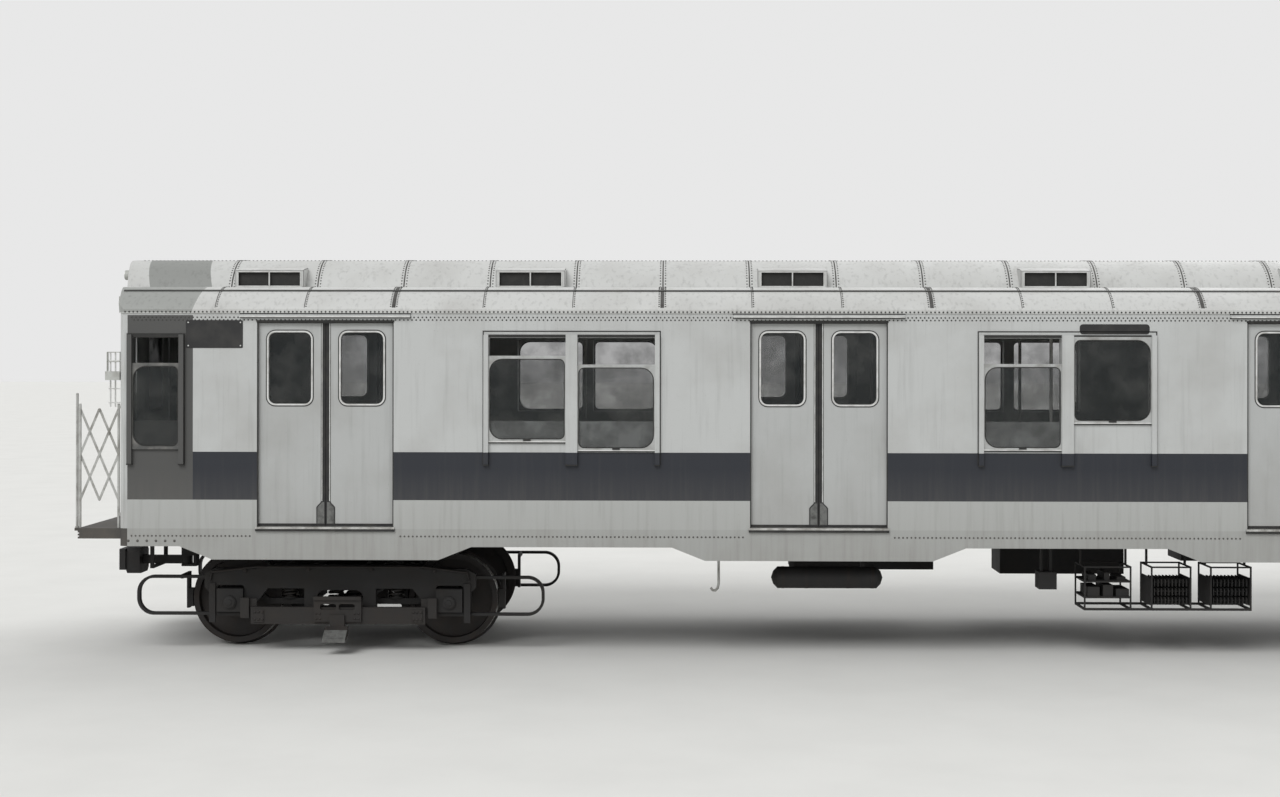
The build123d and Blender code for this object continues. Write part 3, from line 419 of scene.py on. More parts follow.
def drawnIn(outline, amount):
    # Moves each corner along the mean of its edges' inward normals.
    before, after = np.roll(outline, 1, 0), np.roll(outline, -1, 0)
    normals = []
    for start, end in ((before, outline), (outline, after)):
        edge = end - start
        edge = edge / np.linalg.norm(edge, axis=1, keepdims=True)
        normals.append(np.stack([-edge[:, 1], edge[:, 0]], 1))
    mean = normals[0] + normals[1]
    mean /= np.linalg.norm(mean, axis=1, keepdims=True)
    return outline + amount * mean / np.maximum(np.sum(mean * normals[0], 1, keepdims=True), 0.3)


def atHeight(outline, height):
    return np.column_stack([outline, np.full(len(outline), height)])


def plateShape(outline, low, high, edge=0.0):
    # Flat plate with its front edge rounded off by edge.
    loops = [atHeight(outline, low), atHeight(outline, high - edge)]
    if edge:
        loops.append(atHeight(drawnIn(outline, edge), high))
    return skinned(loops)


def rimShape(outline, width, low, high, edge=0.0):
    # Ring that follows the outline, width wide inwards, with both front edges rounded off.
    inner = drawnIn(outline, width)
    loops = [atHeight(outline, low), atHeight(outline, high - edge), atHeight(drawnIn(outline, edge), high),
             atHeight(drawnIn(outline, width - edge), high), atHeight(inner, high - edge), atHeight(inner, low)]
    return skinned(loops, True)


def rimAround(size, grow, *ring):
    # Ring round a light of the given width, height and corner radius, with its outer edge grow outside the light.
    width, height, corner = size
    return rimShape(roundedOutline(width + 2 * grow, height + 2 * grow, corner + grow), *ring)


def paneShape(size, thick=0.006, gap=0.002):
    # Pane a little smaller than its light.
    width, height, corner = size
    return plateShape(roundedOutline(width - gap, height - gap, corner), -thick / 2, thick / 2)


def boxShape(width, height, low, high, edge=0.0):
    half = np.array([[width, -height], [width, height], [-width, height], [-width, -height]]) / 2
    return plateShape(half, low, high, edge)


def sideBox(side, u, z, width, height, low, high, edge=0.0, y=car["sheetY"]):
    return onSide(boxShape(width, height, low, high, edge), side, u, z, y)


def barShape(start, end, width, thick, edge=0.001):
    # Flat bar from start to end, its thickness across the car.
    start, end = np.asarray(start, float), np.asarray(end, float)
    length = np.linalg.norm(end - start)
    along = (end - start) / length
    bar = boxShape(length, width, -thick / 2, thick / 2, edge)
    return placed(bar, (start + end) / 2, along, np.cross(axisY, along), axisY)


def turnedRings(profile, around):
    # Circles (r cos a, r sin a, h), one for every (r, h) of the profile.
    turn = np.arange(around) * 2 * np.pi / around
    return [np.stack([r * np.cos(turn), r * np.sin(turn), np.full(around, h)], 1) for r, h in profile]


def hoopShape(profile, around):
    # Closed profile (radius, height) turned about the local w axis.
    return skinned(turnedRings(profile, around), True)


def latheShape(profile, around=24):
    # Profile (radius, height) turned about the local w axis; it starts and ends on the axis.
    rings = turnedRings(profile[1:-1], around)
    poles = np.array([[0, 0, profile[0][1]], [0, 0, profile[-1][1]]])
    count = around * len(rings)
    step = np.arange(around)
    after = (step + 1) % around
    last = count - around
    faces = loopWalls(around, len(rings)) + [np.stack([after, step, np.full(around, count)], 1),
                                             np.stack([step + last, after + last, np.full(around, count + 1)], 1)]
    return np.concatenate(rings + [poles]), faces


def tubeShape(path, radius, reference, around=8):
    # Circle of the radius carried along the path; its first axis is tangent x reference. Both ends are capped.
    path = np.asarray(path, float)
    tangent = np.gradient(path, axis=0)
    tangent /= np.linalg.norm(tangent, axis=1, keepdims=True)
    first = np.cross(tangent, np.broadcast_to(reference, path.shape))
    first /= np.linalg.norm(first, axis=1, keepdims=True)
    circle = turnedRings(((radius, 0.0),), around)[0][:, :2]
    return skinned(path[:, None] + circle @ np.stack([first, np.cross(tangent, first)], 1))


def ribbonShape(path, normals, across, width, thickness):
    # Flat strip laid on a surface: a rectangle in (across, normal) carried along the path.
    corners = ((-width / 2, sunk), (width / 2, sunk), (width / 2, thickness), (-width / 2, thickness))
    return skinned(np.stack([path + a * across + b * normals for a, b in corners], 1))


# Rivet heads: a low dome, repeated at every place along the outward normals.
rivets = {
    "radius": 0.0095,
    "height": 0.0050,
    "sunk": -0.0006,
    "shoulder": (0.75, 0.66),
    "around": 8,
    "pitch": 0.0381,
    "seamPitch": 0.034,
}


def rivetShape(places, normals, size=1.0):
    # Two circles and a top point, in two tangents of each normal.
    places = np.asarray(places, float)
    normals = np.broadcast_to(np.asarray(normals, float), places.shape)
    normals = normals / np.linalg.norm(normals, axis=1, keepdims=True)
    first = np.cross(np.where(np.abs(normals[:, :1]) > 0.9, axisZ, axisX), normals)
    first /= np.linalg.norm(first, axis=1, keepdims=True)
    radius, height, around = rivets["radius"] * size, rivets["height"] * size, rivets["around"]
    inner, upper = rivets["shoulder"]
    circles = turnedRings(((radius, rivets["sunk"]), (inner * radius, upper * height)), around)
    head = np.concatenate(circles + [[[0, 0, height]]])
    verts = places[:, None] + head @ np.stack([first, np.cross(normals, first), normals], 1)
    step = np.arange(around)
    after = (step + 1) % around
    starts = (np.arange(len(places)) * len(head))[:, None, None]
    walls = np.stack([step, after, after + around, step + around], 1)[None] + starts
    tops = np.stack([step + around, after + around, np.full(around, 2 * around)], 1)[None] + starts
    return verts.reshape(-1, 3), [walls.reshape(-1, 4), tops.reshape(-1, 3), step[None, ::-1] + starts[:, 0]]


def rowAlong(low, high, pitch=rivets["pitch"]):
    return np.linspace(low, high, max(2, int(round((high - low) / pitch)) + 1))


def sideRivets(xs, z, size=1.0, y=car["sheetY"]):
    # The same row on both sides.
    return [rivetShape([(x, sign * y, z) for x in xs], (0, sign, 0), size) for sign in sideSigns.values()]


sideRows = {
    "lapZ": rail + 3.177,
    "lapReach": 8.72,
    "letterboardZ": rail + 3.114,
    "letterboardHead": 0.9,
    "stagger": 0.012,
    "beltZ": rail + 1.097,
    "cornerZ": rail + 1.050,
    "cornerXs": (8.26, 8.69, 6),
    "cornerHead": 1.4,
    "reach": 8.66,
    "stepReach": 0.70,
}
reach, middleZ, stagger = sideRows["reach"], sideRows["letterboardZ"], sideRows["stagger"]
rows = sideRivets(rowAlong(-sideRows["lapReach"], sideRows["lapReach"]), sideRows["lapZ"], y=car["eaveY"])
xs = rowAlong(-reach, reach)
rows += sideRivets(xs, middleZ + stagger, sideRows["letterboardHead"])
rows += sideRivets(xs[:-1] + rivets["pitch"] / 2, middleZ - stagger, sideRows["letterboardHead"])
edges = [-reach] + [x + step * sideRows["stepReach"] for x in doorXs for step in (-1, 1)] + [reach]
for low, high in zip(edges[::2], edges[1::2]):
    rows += sideRivets(rowAlong(low, high), sideRows["beltZ"])
for sign in (-1, 1):
    rows += sideRivets(sign * np.linspace(*sideRows["cornerXs"]), sideRows["cornerZ"], sideRows["cornerHead"])
newPiece("side_rivets", rows, "rivetShadeEnamel", 60)
print("side rivets ready")


# Sheet joints of the roof: 0.83 m sheets, every third joint of the cove is a wide lap. Long joints: a proud dark
# strip near the top of the cove, partly the lap and partly painted shadow at the foot of the raised middle, and a row
# of rivets along the crest of the raised middle. Angles are from upright.
roofJoints = {
    "stations": [sign * (0.415 + 0.83 * number) for number in range(10) for sign in (-1, 1)],
    "wide": (1.245, 3.735, 6.225),
    "lineWidth": 0.012,
    "coveWidth": 0.006,
    "wideWidth": 0.034,
    "thickness": 0.0025,
    "rivetStep": 0.024,
    "coveRivetStep": 0.012,
    "coveRivetPitch": 0.0272,
    "seamHead": 0.85,
    "angles": (76.5, 61),
    "coveAngles": (4, 88, 25),
    "lapAngle": 60,
    "lapReach": 8.79,
    "lapWidth": 0.020,
    "lapProud": 0.010,
    "crestAngle": 49,
    "crestReach": 8.82,
    "crestHead": 0.9,
    "centreZ": rail + 3.20,
    "coveY": 1.0,
    "rays": (2.4, 0.62),
}
roofMesh = nodes["roof"].data
roofTree = BVHTree.FromPolygons([v.co for v in roofMesh.vertices], [p.vertices for p in roofMesh.polygons])
topLimit = cadBox[1].z - 0.0004


def roofLine(x, sign, angles):
    # Points and outward normals of the roof at one station, where rays at the angles come in to a centre: that of
    # the raised middle for sign 0, or that of the cove on the side of the sign.
    centre = Vector((x, sign * roofJoints["coveY"], roofJoints["centreZ"]))
    places, normals = [], []
    for angle in angles:
        way = Vector((0, math.sin(angle), math.cos(angle)))
        hit, normal = roofTree.ray_cast(centre + way * roofJoints["rays"][abs(sign)], -way)[:2]
        if hit is not None:
            places.append(hit)
            normals.append(normal if normal.dot(way) > 0 else -normal)
    return np.array(places), np.array(normals)


def lengthwise(tier, sign, angle, xs):
    # Points all along the roof at one angle of its section, with their outward normal.
    spot, normal = roofLine(0.0, tier * sign, [sign * math.radians(angle)])
    return np.column_stack([xs, np.tile(spot[0][1:], (len(xs), 1))]), normal[0]


def evenAlong(places, normals, pitch):
    # Places at an even pitch along a line, with their normals.
    length = np.concatenate([[0], np.cumsum(np.linalg.norm(np.diff(places, axis=0), axis=1))])
    wanted = rowAlong(pitch / 2, length[-1] - pitch / 2, pitch)
    return [np.stack([np.interp(wanted, length, row) for row in rows.T], 1) for rows in (places, normals)]


lines, heads = [], []
thickness, size = roofJoints["thickness"], roofJoints["seamHead"]
for x in roofJoints["stations"]:
    foot, count = roofJoints["angles"]
    path, normals = roofLine(x, 0, np.radians(np.linspace(-foot, foot, count)))
    path[:, 2] = np.minimum(path[:, 2], topLimit - thickness * normals[:, 2])
    lines.append(ribbonShape(path, normals, -axisX, roofJoints["lineWidth"], thickness))
    spots, ups = evenAlong(path, normals, rivets["seamPitch"])
    low = spots[:, 2] < topLimit - rivets["height"]
    for step in (-1, 1):
        heads.append(rivetShape(spots[low] + step * roofJoints["rivetStep"] * axisX, ups[low], size))
    wide = any(abs(abs(x) - w) < 0.01 for w in roofJoints["wide"])
    width = roofJoints["wideWidth" if wide else "coveWidth"]
    for sign in (-1, 1):
        path, normals = roofLine(x, sign, np.radians(np.linspace(*roofJoints["coveAngles"])) * sign)
        lines.append(ribbonShape(path, normals, -axisX * sign, width, thickness))
        spots, ups = evenAlong(path, normals, roofJoints["coveRivetPitch"])
        for step in (-1, 1) if wide else (1,):
            heads.append(rivetShape(spots + step * (width / 2 + roofJoints["coveRivetStep"]) * axisX, ups, size))
newPiece("roof_joint_lines", lines, "seamSealer")
for word, sign in sideSigns.items():
    path, normal = lengthwise(1, sign, roofJoints["lapAngle"],
                              np.linspace(-roofJoints["lapReach"], roofJoints["lapReach"], 3))
    # the dark strip near the top of the cove is partly the lap and partly painted shadow under the raised middle
    lapAndShadow = ribbonShape(path, normal, np.cross(normal, axisX), roofJoints["lapWidth"], roofJoints["lapProud"])
    newPiece("cove_top_seam_shadow_" + word, [lapAndShadow], "rivetShadeEnamel")
    path, normal = lengthwise(0, sign, roofJoints["crestAngle"],
                              rowAlong(-roofJoints["crestReach"], roofJoints["crestReach"]))
    heads.append(rivetShape(path, normal, roofJoints["crestHead"]))
newPiece("roof_rivets", heads, "rivetShadeEnamel", 60)
print("roof joints ready")


# Side door leaves: rubber nosing, a foot wiper and a strip of painted shadow beside the trim, pressed trims, window
# rim and pane, and the kick guard at the meeting edge.
leafDress = {
    "low": rail + 1.196,
    "high": rail + 3.085,
    "nosing": (0.030, -0.041, 0.004, 0.003),
    "nosingGap": 0.003,
    "nosingLap": 0.002,
    "trim": (0.007, sunk, 0.0025, 0.0008),
    "shadow": (0.005, sunk, 0.002, 0.0005),
    "shadowOff": 0.003,
    "wiper": (0.640, 0.022, sunk, 0.003, 0.001),
    "wiperLow": rail + 1.190,
    "window": (0.400, 0.667, 0.065),
    "windowAt": (0.336, rail + 2.655),
    # rings round the window: outside it by, width, back, front, rounding
    "gasket": (0.023, 0.010, sunk, 0.0025),
    "rimFront": (0.014, 0.016, -0.020, 0.004, 0.0015),
    "rimBack": (0.014, 0.016, -0.004, 0.018),
    "paneIn": 0.020,
    "guard": (0.084, 0.218),
    "guardShares": ((0, 0), (1, 0), (1, 0.74), (0.90, 0.80), (0.56, 0.93), (0.48, 1), (0, 1)),
    "guardLift": 0.006,
    "guardDepth": (sunk, 0.0055, 0.0015),
    "guardFace": (0.010, 0.0045, 0.0065, 0.0006),
}


def leafPieces(side, number, word):
    body, sign, d = f"door_{side}_{number}_{word}", sideSigns[side], leafDress
    way = (-1 if word == "fore" else 1) * -sign
    tall, middle = d["high"] - d["low"], (d["low"] + d["high"]) / 2

    def at(shape, u, z, y=car["leafOuterY"]):
        return onSide(shape, side, -sign * doorXs[number - 1] + way * u, z, y)

    width, *depth = d["nosing"]
    edge = d["nosingGap"] + width
    rubbersAndShadow = [at(boxShape(width, tall, *depth), edge - width / 2 - d["nosingLap"], middle)]
    # rubber wiper along the foot, dark also as painted shadow of the gap over the sill
    width, height, *depth = d["wiper"]
    rubbersAndShadow.append(at(boxShape(width, height, *depth), d["nosingGap"] + width / 2, d["wiperLow"] + height / 2))
    trim, *depth = d["trim"]
    trims = [at(boxShape(trim, tall, *depth), edge + trim / 2, middle)]
    # dark strip beside the trim: painted shadow
    width, *depth = d["shadow"]
    rubbersAndShadow.append(at(boxShape(width, tall, *depth), edge + trim + d["shadowOff"], middle))
    rubbersAndShadow.append(at(rimAround(d["window"], *d["gasket"]), *d["windowAt"]))
    newPiece(body + "_rubber_and_shadow", rubbersAndShadow, "nosingRubber", body=body)
    trims.append(at(rimAround(d["window"], *d["rimFront"]), *d["windowAt"]))
    trims.append(at(rimAround(d["window"], *d["rimBack"]), *d["windowAt"], car["leafInnerY"]))
    newPiece(body + "_trim", trims, "trimAluminium", 40, body)
    pane = at(paneShape(d["window"]), *d["windowAt"], car["leafOuterY"] - d["paneIn"])
    newPiece(body + "_pane", [pane], "windowGlass", body=body)
    half = np.array(d["guardShares"]) * d["guard"]
    outline = half if way > 0 else (half * [-1, 1])[::-1]
    place = (d["nosingGap"], d["low"] + d["guardLift"])
    guard = plateShape(outline, *d["guardDepth"])
    newPiece(body + "_guard", [at(guard, *place)], "plateEnamel", body=body)
    inset, *depth = d["guardFace"]
    face = plateShape(drawnIn(outline, inset), *depth)
    newPiece(body + "_guard_face", [at(face, *place)], "guardSteel", body=body)


for side in sideSigns:
    for number in range(1, 5):
        for word in ("fore", "aft"):
            leafPieces(side, number, word)
print("door leaves dressed")


# Doorways: dark strips, partly seals and partly painted shadow round the leaves, over the head, under the threshold
# and at the drip rail; boxes with their middle height, width, height, back, front, rounding and, where it isn't the
# sheet, face.
doorway = {
    "jambU": 0.6305,
    # jamb rubbers, dark also as painted shadow of the gaps beside the leaves
    "jamb": (rail + 2.132, 0.010, 1.896, -0.018, -0.0005),
    "across": (
        (rail + 3.0755, 1.270, 0.010, -0.018, -0.0005),  # rubber in the head, dark also as painted shadow of the gap over the leaves
        (rail + 3.090, 1.282, 0.020, sunk, 0.0025),  # painted shadow over the head
        (rail + 1.154, 1.294, 0.022, sunk, 0.0205, 0.002),  # painted shadow under the threshold lip
        (rail + 3.124, 1.592, 0.014, sunk, 0.004, 0.001),  # painted shadow lines under and over the drip rail
        (rail + 3.161, 1.592, 0.014, sunk, 0.004, 0.001),
    ),
    "drip": (rail + 3.132, 1.580, 0.012, sunk, 0.0020, 0.0006, 1.520),
}
strips, drips = [], []
for side in sideSigns:
    for u in doorXs:
        strips += [sideBox(side, u + step * doorway["jambU"], *doorway["jamb"]) for step in (-1, 1)]
        strips += [sideBox(side, u, *row) for row in doorway["across"]]
        drips.append(sideBox(side, u, *doorway["drip"]))
newPiece("doorway_seals_and_shadow", strips, "caulkAndShadowBlack")
newPiece("drip_trims", drips, "trimAluminium")


# Drop windows: painted shade lines round the guides and painted shadow under their feet, painted shadow under and
# over every sash, a rubber ring round its light, and on the wide ones a bright bottom rail with a latch. Some on the
# left are down: six wide ones, then the two of the cabs.
windows = {
    "low": rail + 2.151,
    "head": rail + 2.952,
    "half": 0.3582,
    "cabHalf": 0.2192,
    "offset": 0.4125,
    "cabX": 8.435,
    "faceY": 1.504,
    "rail": (0.011, sunk, 0.004, 0.0012),
    "railLift": 0.007,
    "railShort": 0.004,
    # dark lines round the guides: painted shade at their edges
    "line": 0.010,
    "lineDepth": (sunk, 0.004, 0.001),
    "sillShadowDepth": (-0.012, sunk),
    "latch": (0.070, 0.014, sunk, 0.011, 0.003),
    "latchLift": 0.020,
    "lightLow": 0.028,
    "lightTall": 0.745,
    "stile": 0.009,
    "corners": (0.120, 0.055),
    "ring": (0.009, -0.004, 0.0015, 0.0005),
    "ringLap": 0.001,
    "guides": (0.815, 0.843),
    "cabGuides": (0.263, 0.815),
    "guideWidth": 0.044,
    "guideFoot": -0.384,
    "pillar": 0.108,
    # dark boxes under the guide feet: painted shadow
    "foot": (0.012, sunk, 0.032, 0.002),
    "headShadow": (0.026, -0.0005, 0.010),
    "headShadowLift": 0.003,
    "drops": {"left": (0.180, 0.260, 0.250, 0.0, 0.120, 0.0, 0.250, 0.0), "right": (0.0,) * 8},
    "shutter": (rail + 2.552, 0.430, 0.780, -0.090, -0.086, 0.001),
}


def guideShadowLines(side, u, guides, pillar=None):
    # Painted shade outlining a window's guides, with painted shadow under the foot of each and under the pillar of a
    # pair.
    reach, top = guides
    line, foot, top = windows["line"], windows["low"] + windows["guideFoot"], windows["low"] + top
    height, *depth = windows["foot"]
    shapes = [sideBox(side, u, top + line / 2, 2 * (reach + line), line, *windows["lineDepth"])]
    for step in (-1, 1):
        shapes.append(sideBox(side, u + step * (reach + line / 2), (top + foot) / 2, line, top - foot,
                              *windows["lineDepth"]))
        shapes.append(sideBox(side, u + step * (reach - windows["guideWidth"] / 2), foot - height / 2,
                              windows["guideWidth"] + line, height, *depth))
    if pillar:
        shapes.append(sideBox(side, u, foot - height / 2, pillar + line, height, *depth))
    return shapes


brights, darks = [], []
for side, sign in sideSigns.items():
    for x in pairXs:
        darks += guideShadowLines(side, x, windows["guides"], windows["pillar"])
    for step in (-1, 1):
        darks += guideShadowLines(side, step * windows["cabX"], windows["cabGuides"])
    rows = [(x + step * windows["offset"], windows["half"], step) for x in pairXs for step in (-1, 1)]
    rows += [(step * windows["cabX"], windows["cabHalf"], step) for step in (-1, 1)]
    for (x, half, step), drop in zip(rows, windows["drops"][side]):
        u, low, faceY = -sign * x, windows["low"] - drop, windows["faceY"]
        if half == windows["half"]:
            height, *depth = windows["rail"]
            length = 2 * half - windows["railShort"]
            brights.append(sideBox(side, u, low + windows["railLift"], length, height, *depth, faceY))
            darks.append(sideBox(side, u, low + windows["latchLift"], *windows["latch"], faceY))
        right, left = windows["corners"] if step * sign < 0 else windows["corners"][::-1]
        outline = roundedOutline(2 * (half - windows["stile"] + windows["ringLap"]),
                                 windows["lightTall"] + 2 * windows["ringLap"], right, leftRadius=left)
        ring = rimShape(outline, *windows["ring"])
        darks.append(onSide(ring, side, u, low + windows["lightLow"] + windows["lightTall"] / 2, faceY))
        # painted shadow under the sash
        darks.append(sideBox(side, u, low - windows["line"] / 2, 2 * half, windows["line"], *windows["sillShadowDepth"],
                             y=faceY))
        # painted shadow over the sash, in the top of the opening
        height, *depth = windows["headShadow"]
        darks.append(sideBox(side, u, windows["head"] + windows["headShadowLift"], 2 * half, height, *depth))
newPiece("window_rails", brights, "trimAluminium")
newPiece("window_rubber_and_shadow", darks, "caulkAndShadowBlack")

# Sheet shutters inside the cab window of the far side of each cab.
shutters = [sideBox(side, windows["cabX"], *windows["shutter"]) for side in sideSigns]
newPiece("cab_shutters", shutters, "shutterEnamel")
print("doorways and windows dressed")


# Blank enamelled plates on the sides: number plates near the ends, riveted at their corners, and a sign strip over
# one window. Place along the side, height, width, height and corner.
plates = {
    "number": (-7.890, rail + 2.970, 0.530, 0.259, 0.012),
    "strip": (0.434, rail + 3.023, 0.642, 0.092, 0.030),
    "proud": 0.004,
    "rivetInset": 0.022,
    "rivetHead": 0.8,
}


def sidePlate(name, side, u, z, width, height, corner):
    plate = plateShape(roundedOutline(width, height, corner, 4), sunk, plates["proud"], 0.001)
    newPiece(name, [onSide(plate, side, u, z)], "plateEnamel")


for side, sign in sideSigns.items():
    for word, flip in (("near", 1), ("far", -1)):
        name = f"number_plate_{side}_{word}"
        u, z, width, height, corner = plates["number"]
        sidePlate(name, side, flip * u, z, width, height, corner)
        right, up = width / 2 - plates["rivetInset"], height / 2 - plates["rivetInset"]
        spots = [(-sign * (flip * u + a * right), sign * (car["sheetY"] + plates["proud"]), z + b * up)
                 for a in (-1, 1) for b in (-1, 1)]
        newPiece(name + "_rivets", [rivetShape(spots, (0, sign, 0), plates["rivetHead"])], "trimAluminium",
                 60)
    sidePlate(f"sign_strip_{side}", side, *plates["strip"])
print("plates ready")


# Ventilators in place of the plain ones: folded sheet hoods with a tall mouth, halved by a mullion, over dark mesh,
# with a thin frame round the mouth, a bright lip below, and a painted shadow under the lip.
vents = {
    "count": 7,
    "pitch": 2.5,
    "half": 0.330,
    "mouthHalf": 0.300,
    "sheet": 0.004,
    "faceY": 0.985,
    "mouth": (rail + 3.434, rail + 3.572),
    "section": ((0.780, 3.395), (0.985, 3.412), (0.985, 3.584), (0.952, 3.598), (0.780, 3.618)),
    "frame": (0.010, -0.004, 0.004, 0.001),
    "mullion": (-0.010, 0.004, 0.001),
    "mullionWidth": 0.012,
    "lip": (0.013, -0.002, 0.016, 0.002),
    "lipOver": 0.030,
    "screen": (-0.030, -0.026),
    # dark strip lying under the lip: painted shadow cast by the hood
    "lipShadow": (0.680, 0.022, -0.004, 0.030),
    "lipShadowDrop": 0.024,
}
hoods, frames, screensAndShadow = [], [], []
low, high = vents["mouth"]
tall, middleZ, mouth, half = high - low, (low + high) / 2, vents["mouthHalf"], vents["half"]
sheet, faceY = vents["sheet"], vents["faceY"]
section = np.array(vents["section"]) + (0.0, rail)
fold = np.concatenate([section[2:], section[:1:-1] - (0.0, sheet)])
bottom, top = section[1][1], section[2][1]
cheek = plateShape(section, -sheet / 2, sheet / 2, 0.001)
hood = plateShape(fold, -half, half)
for side, sign in sideSigns.items():
    for u in [(number - (vents["count"] - 1) / 2) * vents["pitch"] for number in range(vents["count"])]:
        for shape, x in ((cheek, u - half + sheet / 2), (cheek, u + half - sheet / 2), (hood, u)):
            shape = placed(shape, (x, 0, 0), axisY, axisZ, axisX)
            hoods.append(shape if sign > 0 else placed(shape, (0, 0, 0), -axisX, -axisY, axisZ))
        for step in (-1, 1):
            hoods.append(sideBox(side, u + step * (mouth + half) / 2, (top + bottom) / 2, half - mouth, top - bottom,
                                 -sheet, 0, y=faceY))
        for foot, head in ((bottom, low), (high, top)):
            hoods.append(sideBox(side, u, (foot + head) / 2, 2 * mouth, head - foot, -sheet, 0, y=faceY))
        width, *depth = vents["frame"]
        outline = roundedOutline(2 * mouth + width, tall + width, 0.006, 2)
        frames.append(onSide(rimShape(outline, width, *depth), side, u, middleZ, faceY))
        frames.append(sideBox(side, u, middleZ, vents["mullionWidth"], tall, *vents["mullion"], faceY))
        height, *depth = vents["lip"]
        frames.append(sideBox(side, u, low - height / 2, 2 * mouth + vents["lipOver"], height, *depth, faceY))
        screensAndShadow.append(sideBox(side, u, middleZ, 2 * half - 0.010, tall + 0.004, *vents["screen"], y=faceY))
        screensAndShadow.append(sideBox(side, u, low - vents["lipShadowDrop"], *vents["lipShadow"], y=faceY))
piece = newPiece("vent_hoods", hoods, "roofEnamel")
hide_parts("roof_vents")
newPiece("vent_frames", frames, "trimAluminium")
newPiece("vent_screens_and_shadow", screensAndShadow, "caulkAndShadowBlack")
print("ventilators ready")


# Wound springs in place of the grooved stacks: bar of round section, ground flat ends, on pressed seats.
springs = {
    "steps": 26,
    # pressed seat: thickness, share of the radius that is flat, rounding, and the pilot that stands in the spring
    "seat": 0.008,
    "seatFlat": 0.96,
    "seatEdge": 0.002,
    "pilot": 0.010,
    "pilotGaps": (0.004, 0.006),
    "rows": (
        # along, across, low, high, outer radius, bar radius, turns
        (0.511, 0.917, rail + 0.458, rail + 0.600, 0.078, 0.0130, 3.6),
        (0.090, 0.815, rail + 0.375, rail + 0.600, 0.080, 0.0150, 5.0),
    ),
}


def springShapes(x, y, low, high, outer, bar, turns):
    # Helix (R cos t, R sin t, z(t)) that lies flat over the first and last quarter turn and rises evenly between.
    t = np.linspace(0, turns, int(turns * springs["steps"]) + 1)
    eased = np.clip(t - 0.25, 0, turns - 0.5) / (turns - 0.5)
    seat = springs["seat"]
    around = np.column_stack([np.cos(2 * np.pi * t), np.sin(2 * np.pi * t), np.zeros_like(t)])
    path = (x, y, low + seat + bar) + (outer - bar) * around
    path[:, 2] += (high - low - 2 * (seat + bar)) * eased
    flat, edge, top = outer * springs["seatFlat"], springs["seatEdge"], seat + springs["pilot"]
    foot, head = (outer - 2 * bar - gap for gap in springs["pilotGaps"])
    disc = latheShape([(0, 0), (flat, 0), (outer, edge), (outer, seat - edge), (flat, seat), (foot, seat),
                       (head, top), (0, top)])
    return [tubeShape(path, bar, around, 10), standing(disc, (x, y, low)),
            placed(disc, (x, y, high), axisX, -axisY, -axisZ)]


for end, sign in endSigns.items():
    shapes = []
    for along, across, *row in springs["rows"]:
        for a, b in ((-1, -1), (-1, 1), (1, -1), (1, 1)):
            shapes += springShapes(sign * car["truckX"] + a * along, b * across, *row)
    piece = newPiece(f"wound_springs_{end}", shapes, "springSteel", 50, f"truck_{end}")
    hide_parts(f"springs_{end}")
print("springs ready")


# Truck dress: journal lids with bolts, bolts of the shoe beams, brake pipes, contact shoes, and the bright bands of
# the treads, whose radius falls off along the cone. Bolt rows are distances along, heights, face and head size.
truckDress = {
    "journalZ": rail + 0.432,
    "lidY": 1.150,
    "lid": ((0, sunk), (0.054, sunk), (0.054, 0.006), (0.047, 0.009), (0.030, 0.009), (0.026, 0.014),
            (0.012, 0.016), (0, 0.016)),
    "lidBolts": (0.046, 1.156, 0.8),
    "boltRows": (
        ((0.715, 0.750, 0.785), (rail + 0.280, rail + 0.350), 1.208, 1.5),
        ((0.200, 0.165), (rail + 0.290, rail + 0.340), 1.224, 1.3),
    ),
    "pipeY": 1.114,
    "pipeRadius": 0.012,
    "pipe": ((-1.230, 0.640), (-1.215, 0.715), (-0.800, 0.765), (-0.300, 0.765), (0.300, 0.765), (0.800, 0.765),
             (1.215, 0.715), (1.230, 0.640)),
    "clips": ((-0.900, 0.733), (-0.300, 0.743), (0.300, 0.743), (0.900, 0.733)),
    "clip": (0.030, 0.034, -0.030, 0.014, 0.003),
    "shoe": ((1.302, 0.196), (1.400, 0.130)),
    "shoePlate": (0.214, -0.002, 0.006, 0.003),
    "shoeToe": (rail + 0.112, 0.214, 0.036, -0.004, 0.004, 0.002, 1.400),
    "tread": ((0.4300, 0.722), (0.4350, 0.722), (0.4294, 0.818), (0.4250, 0.818)),
}
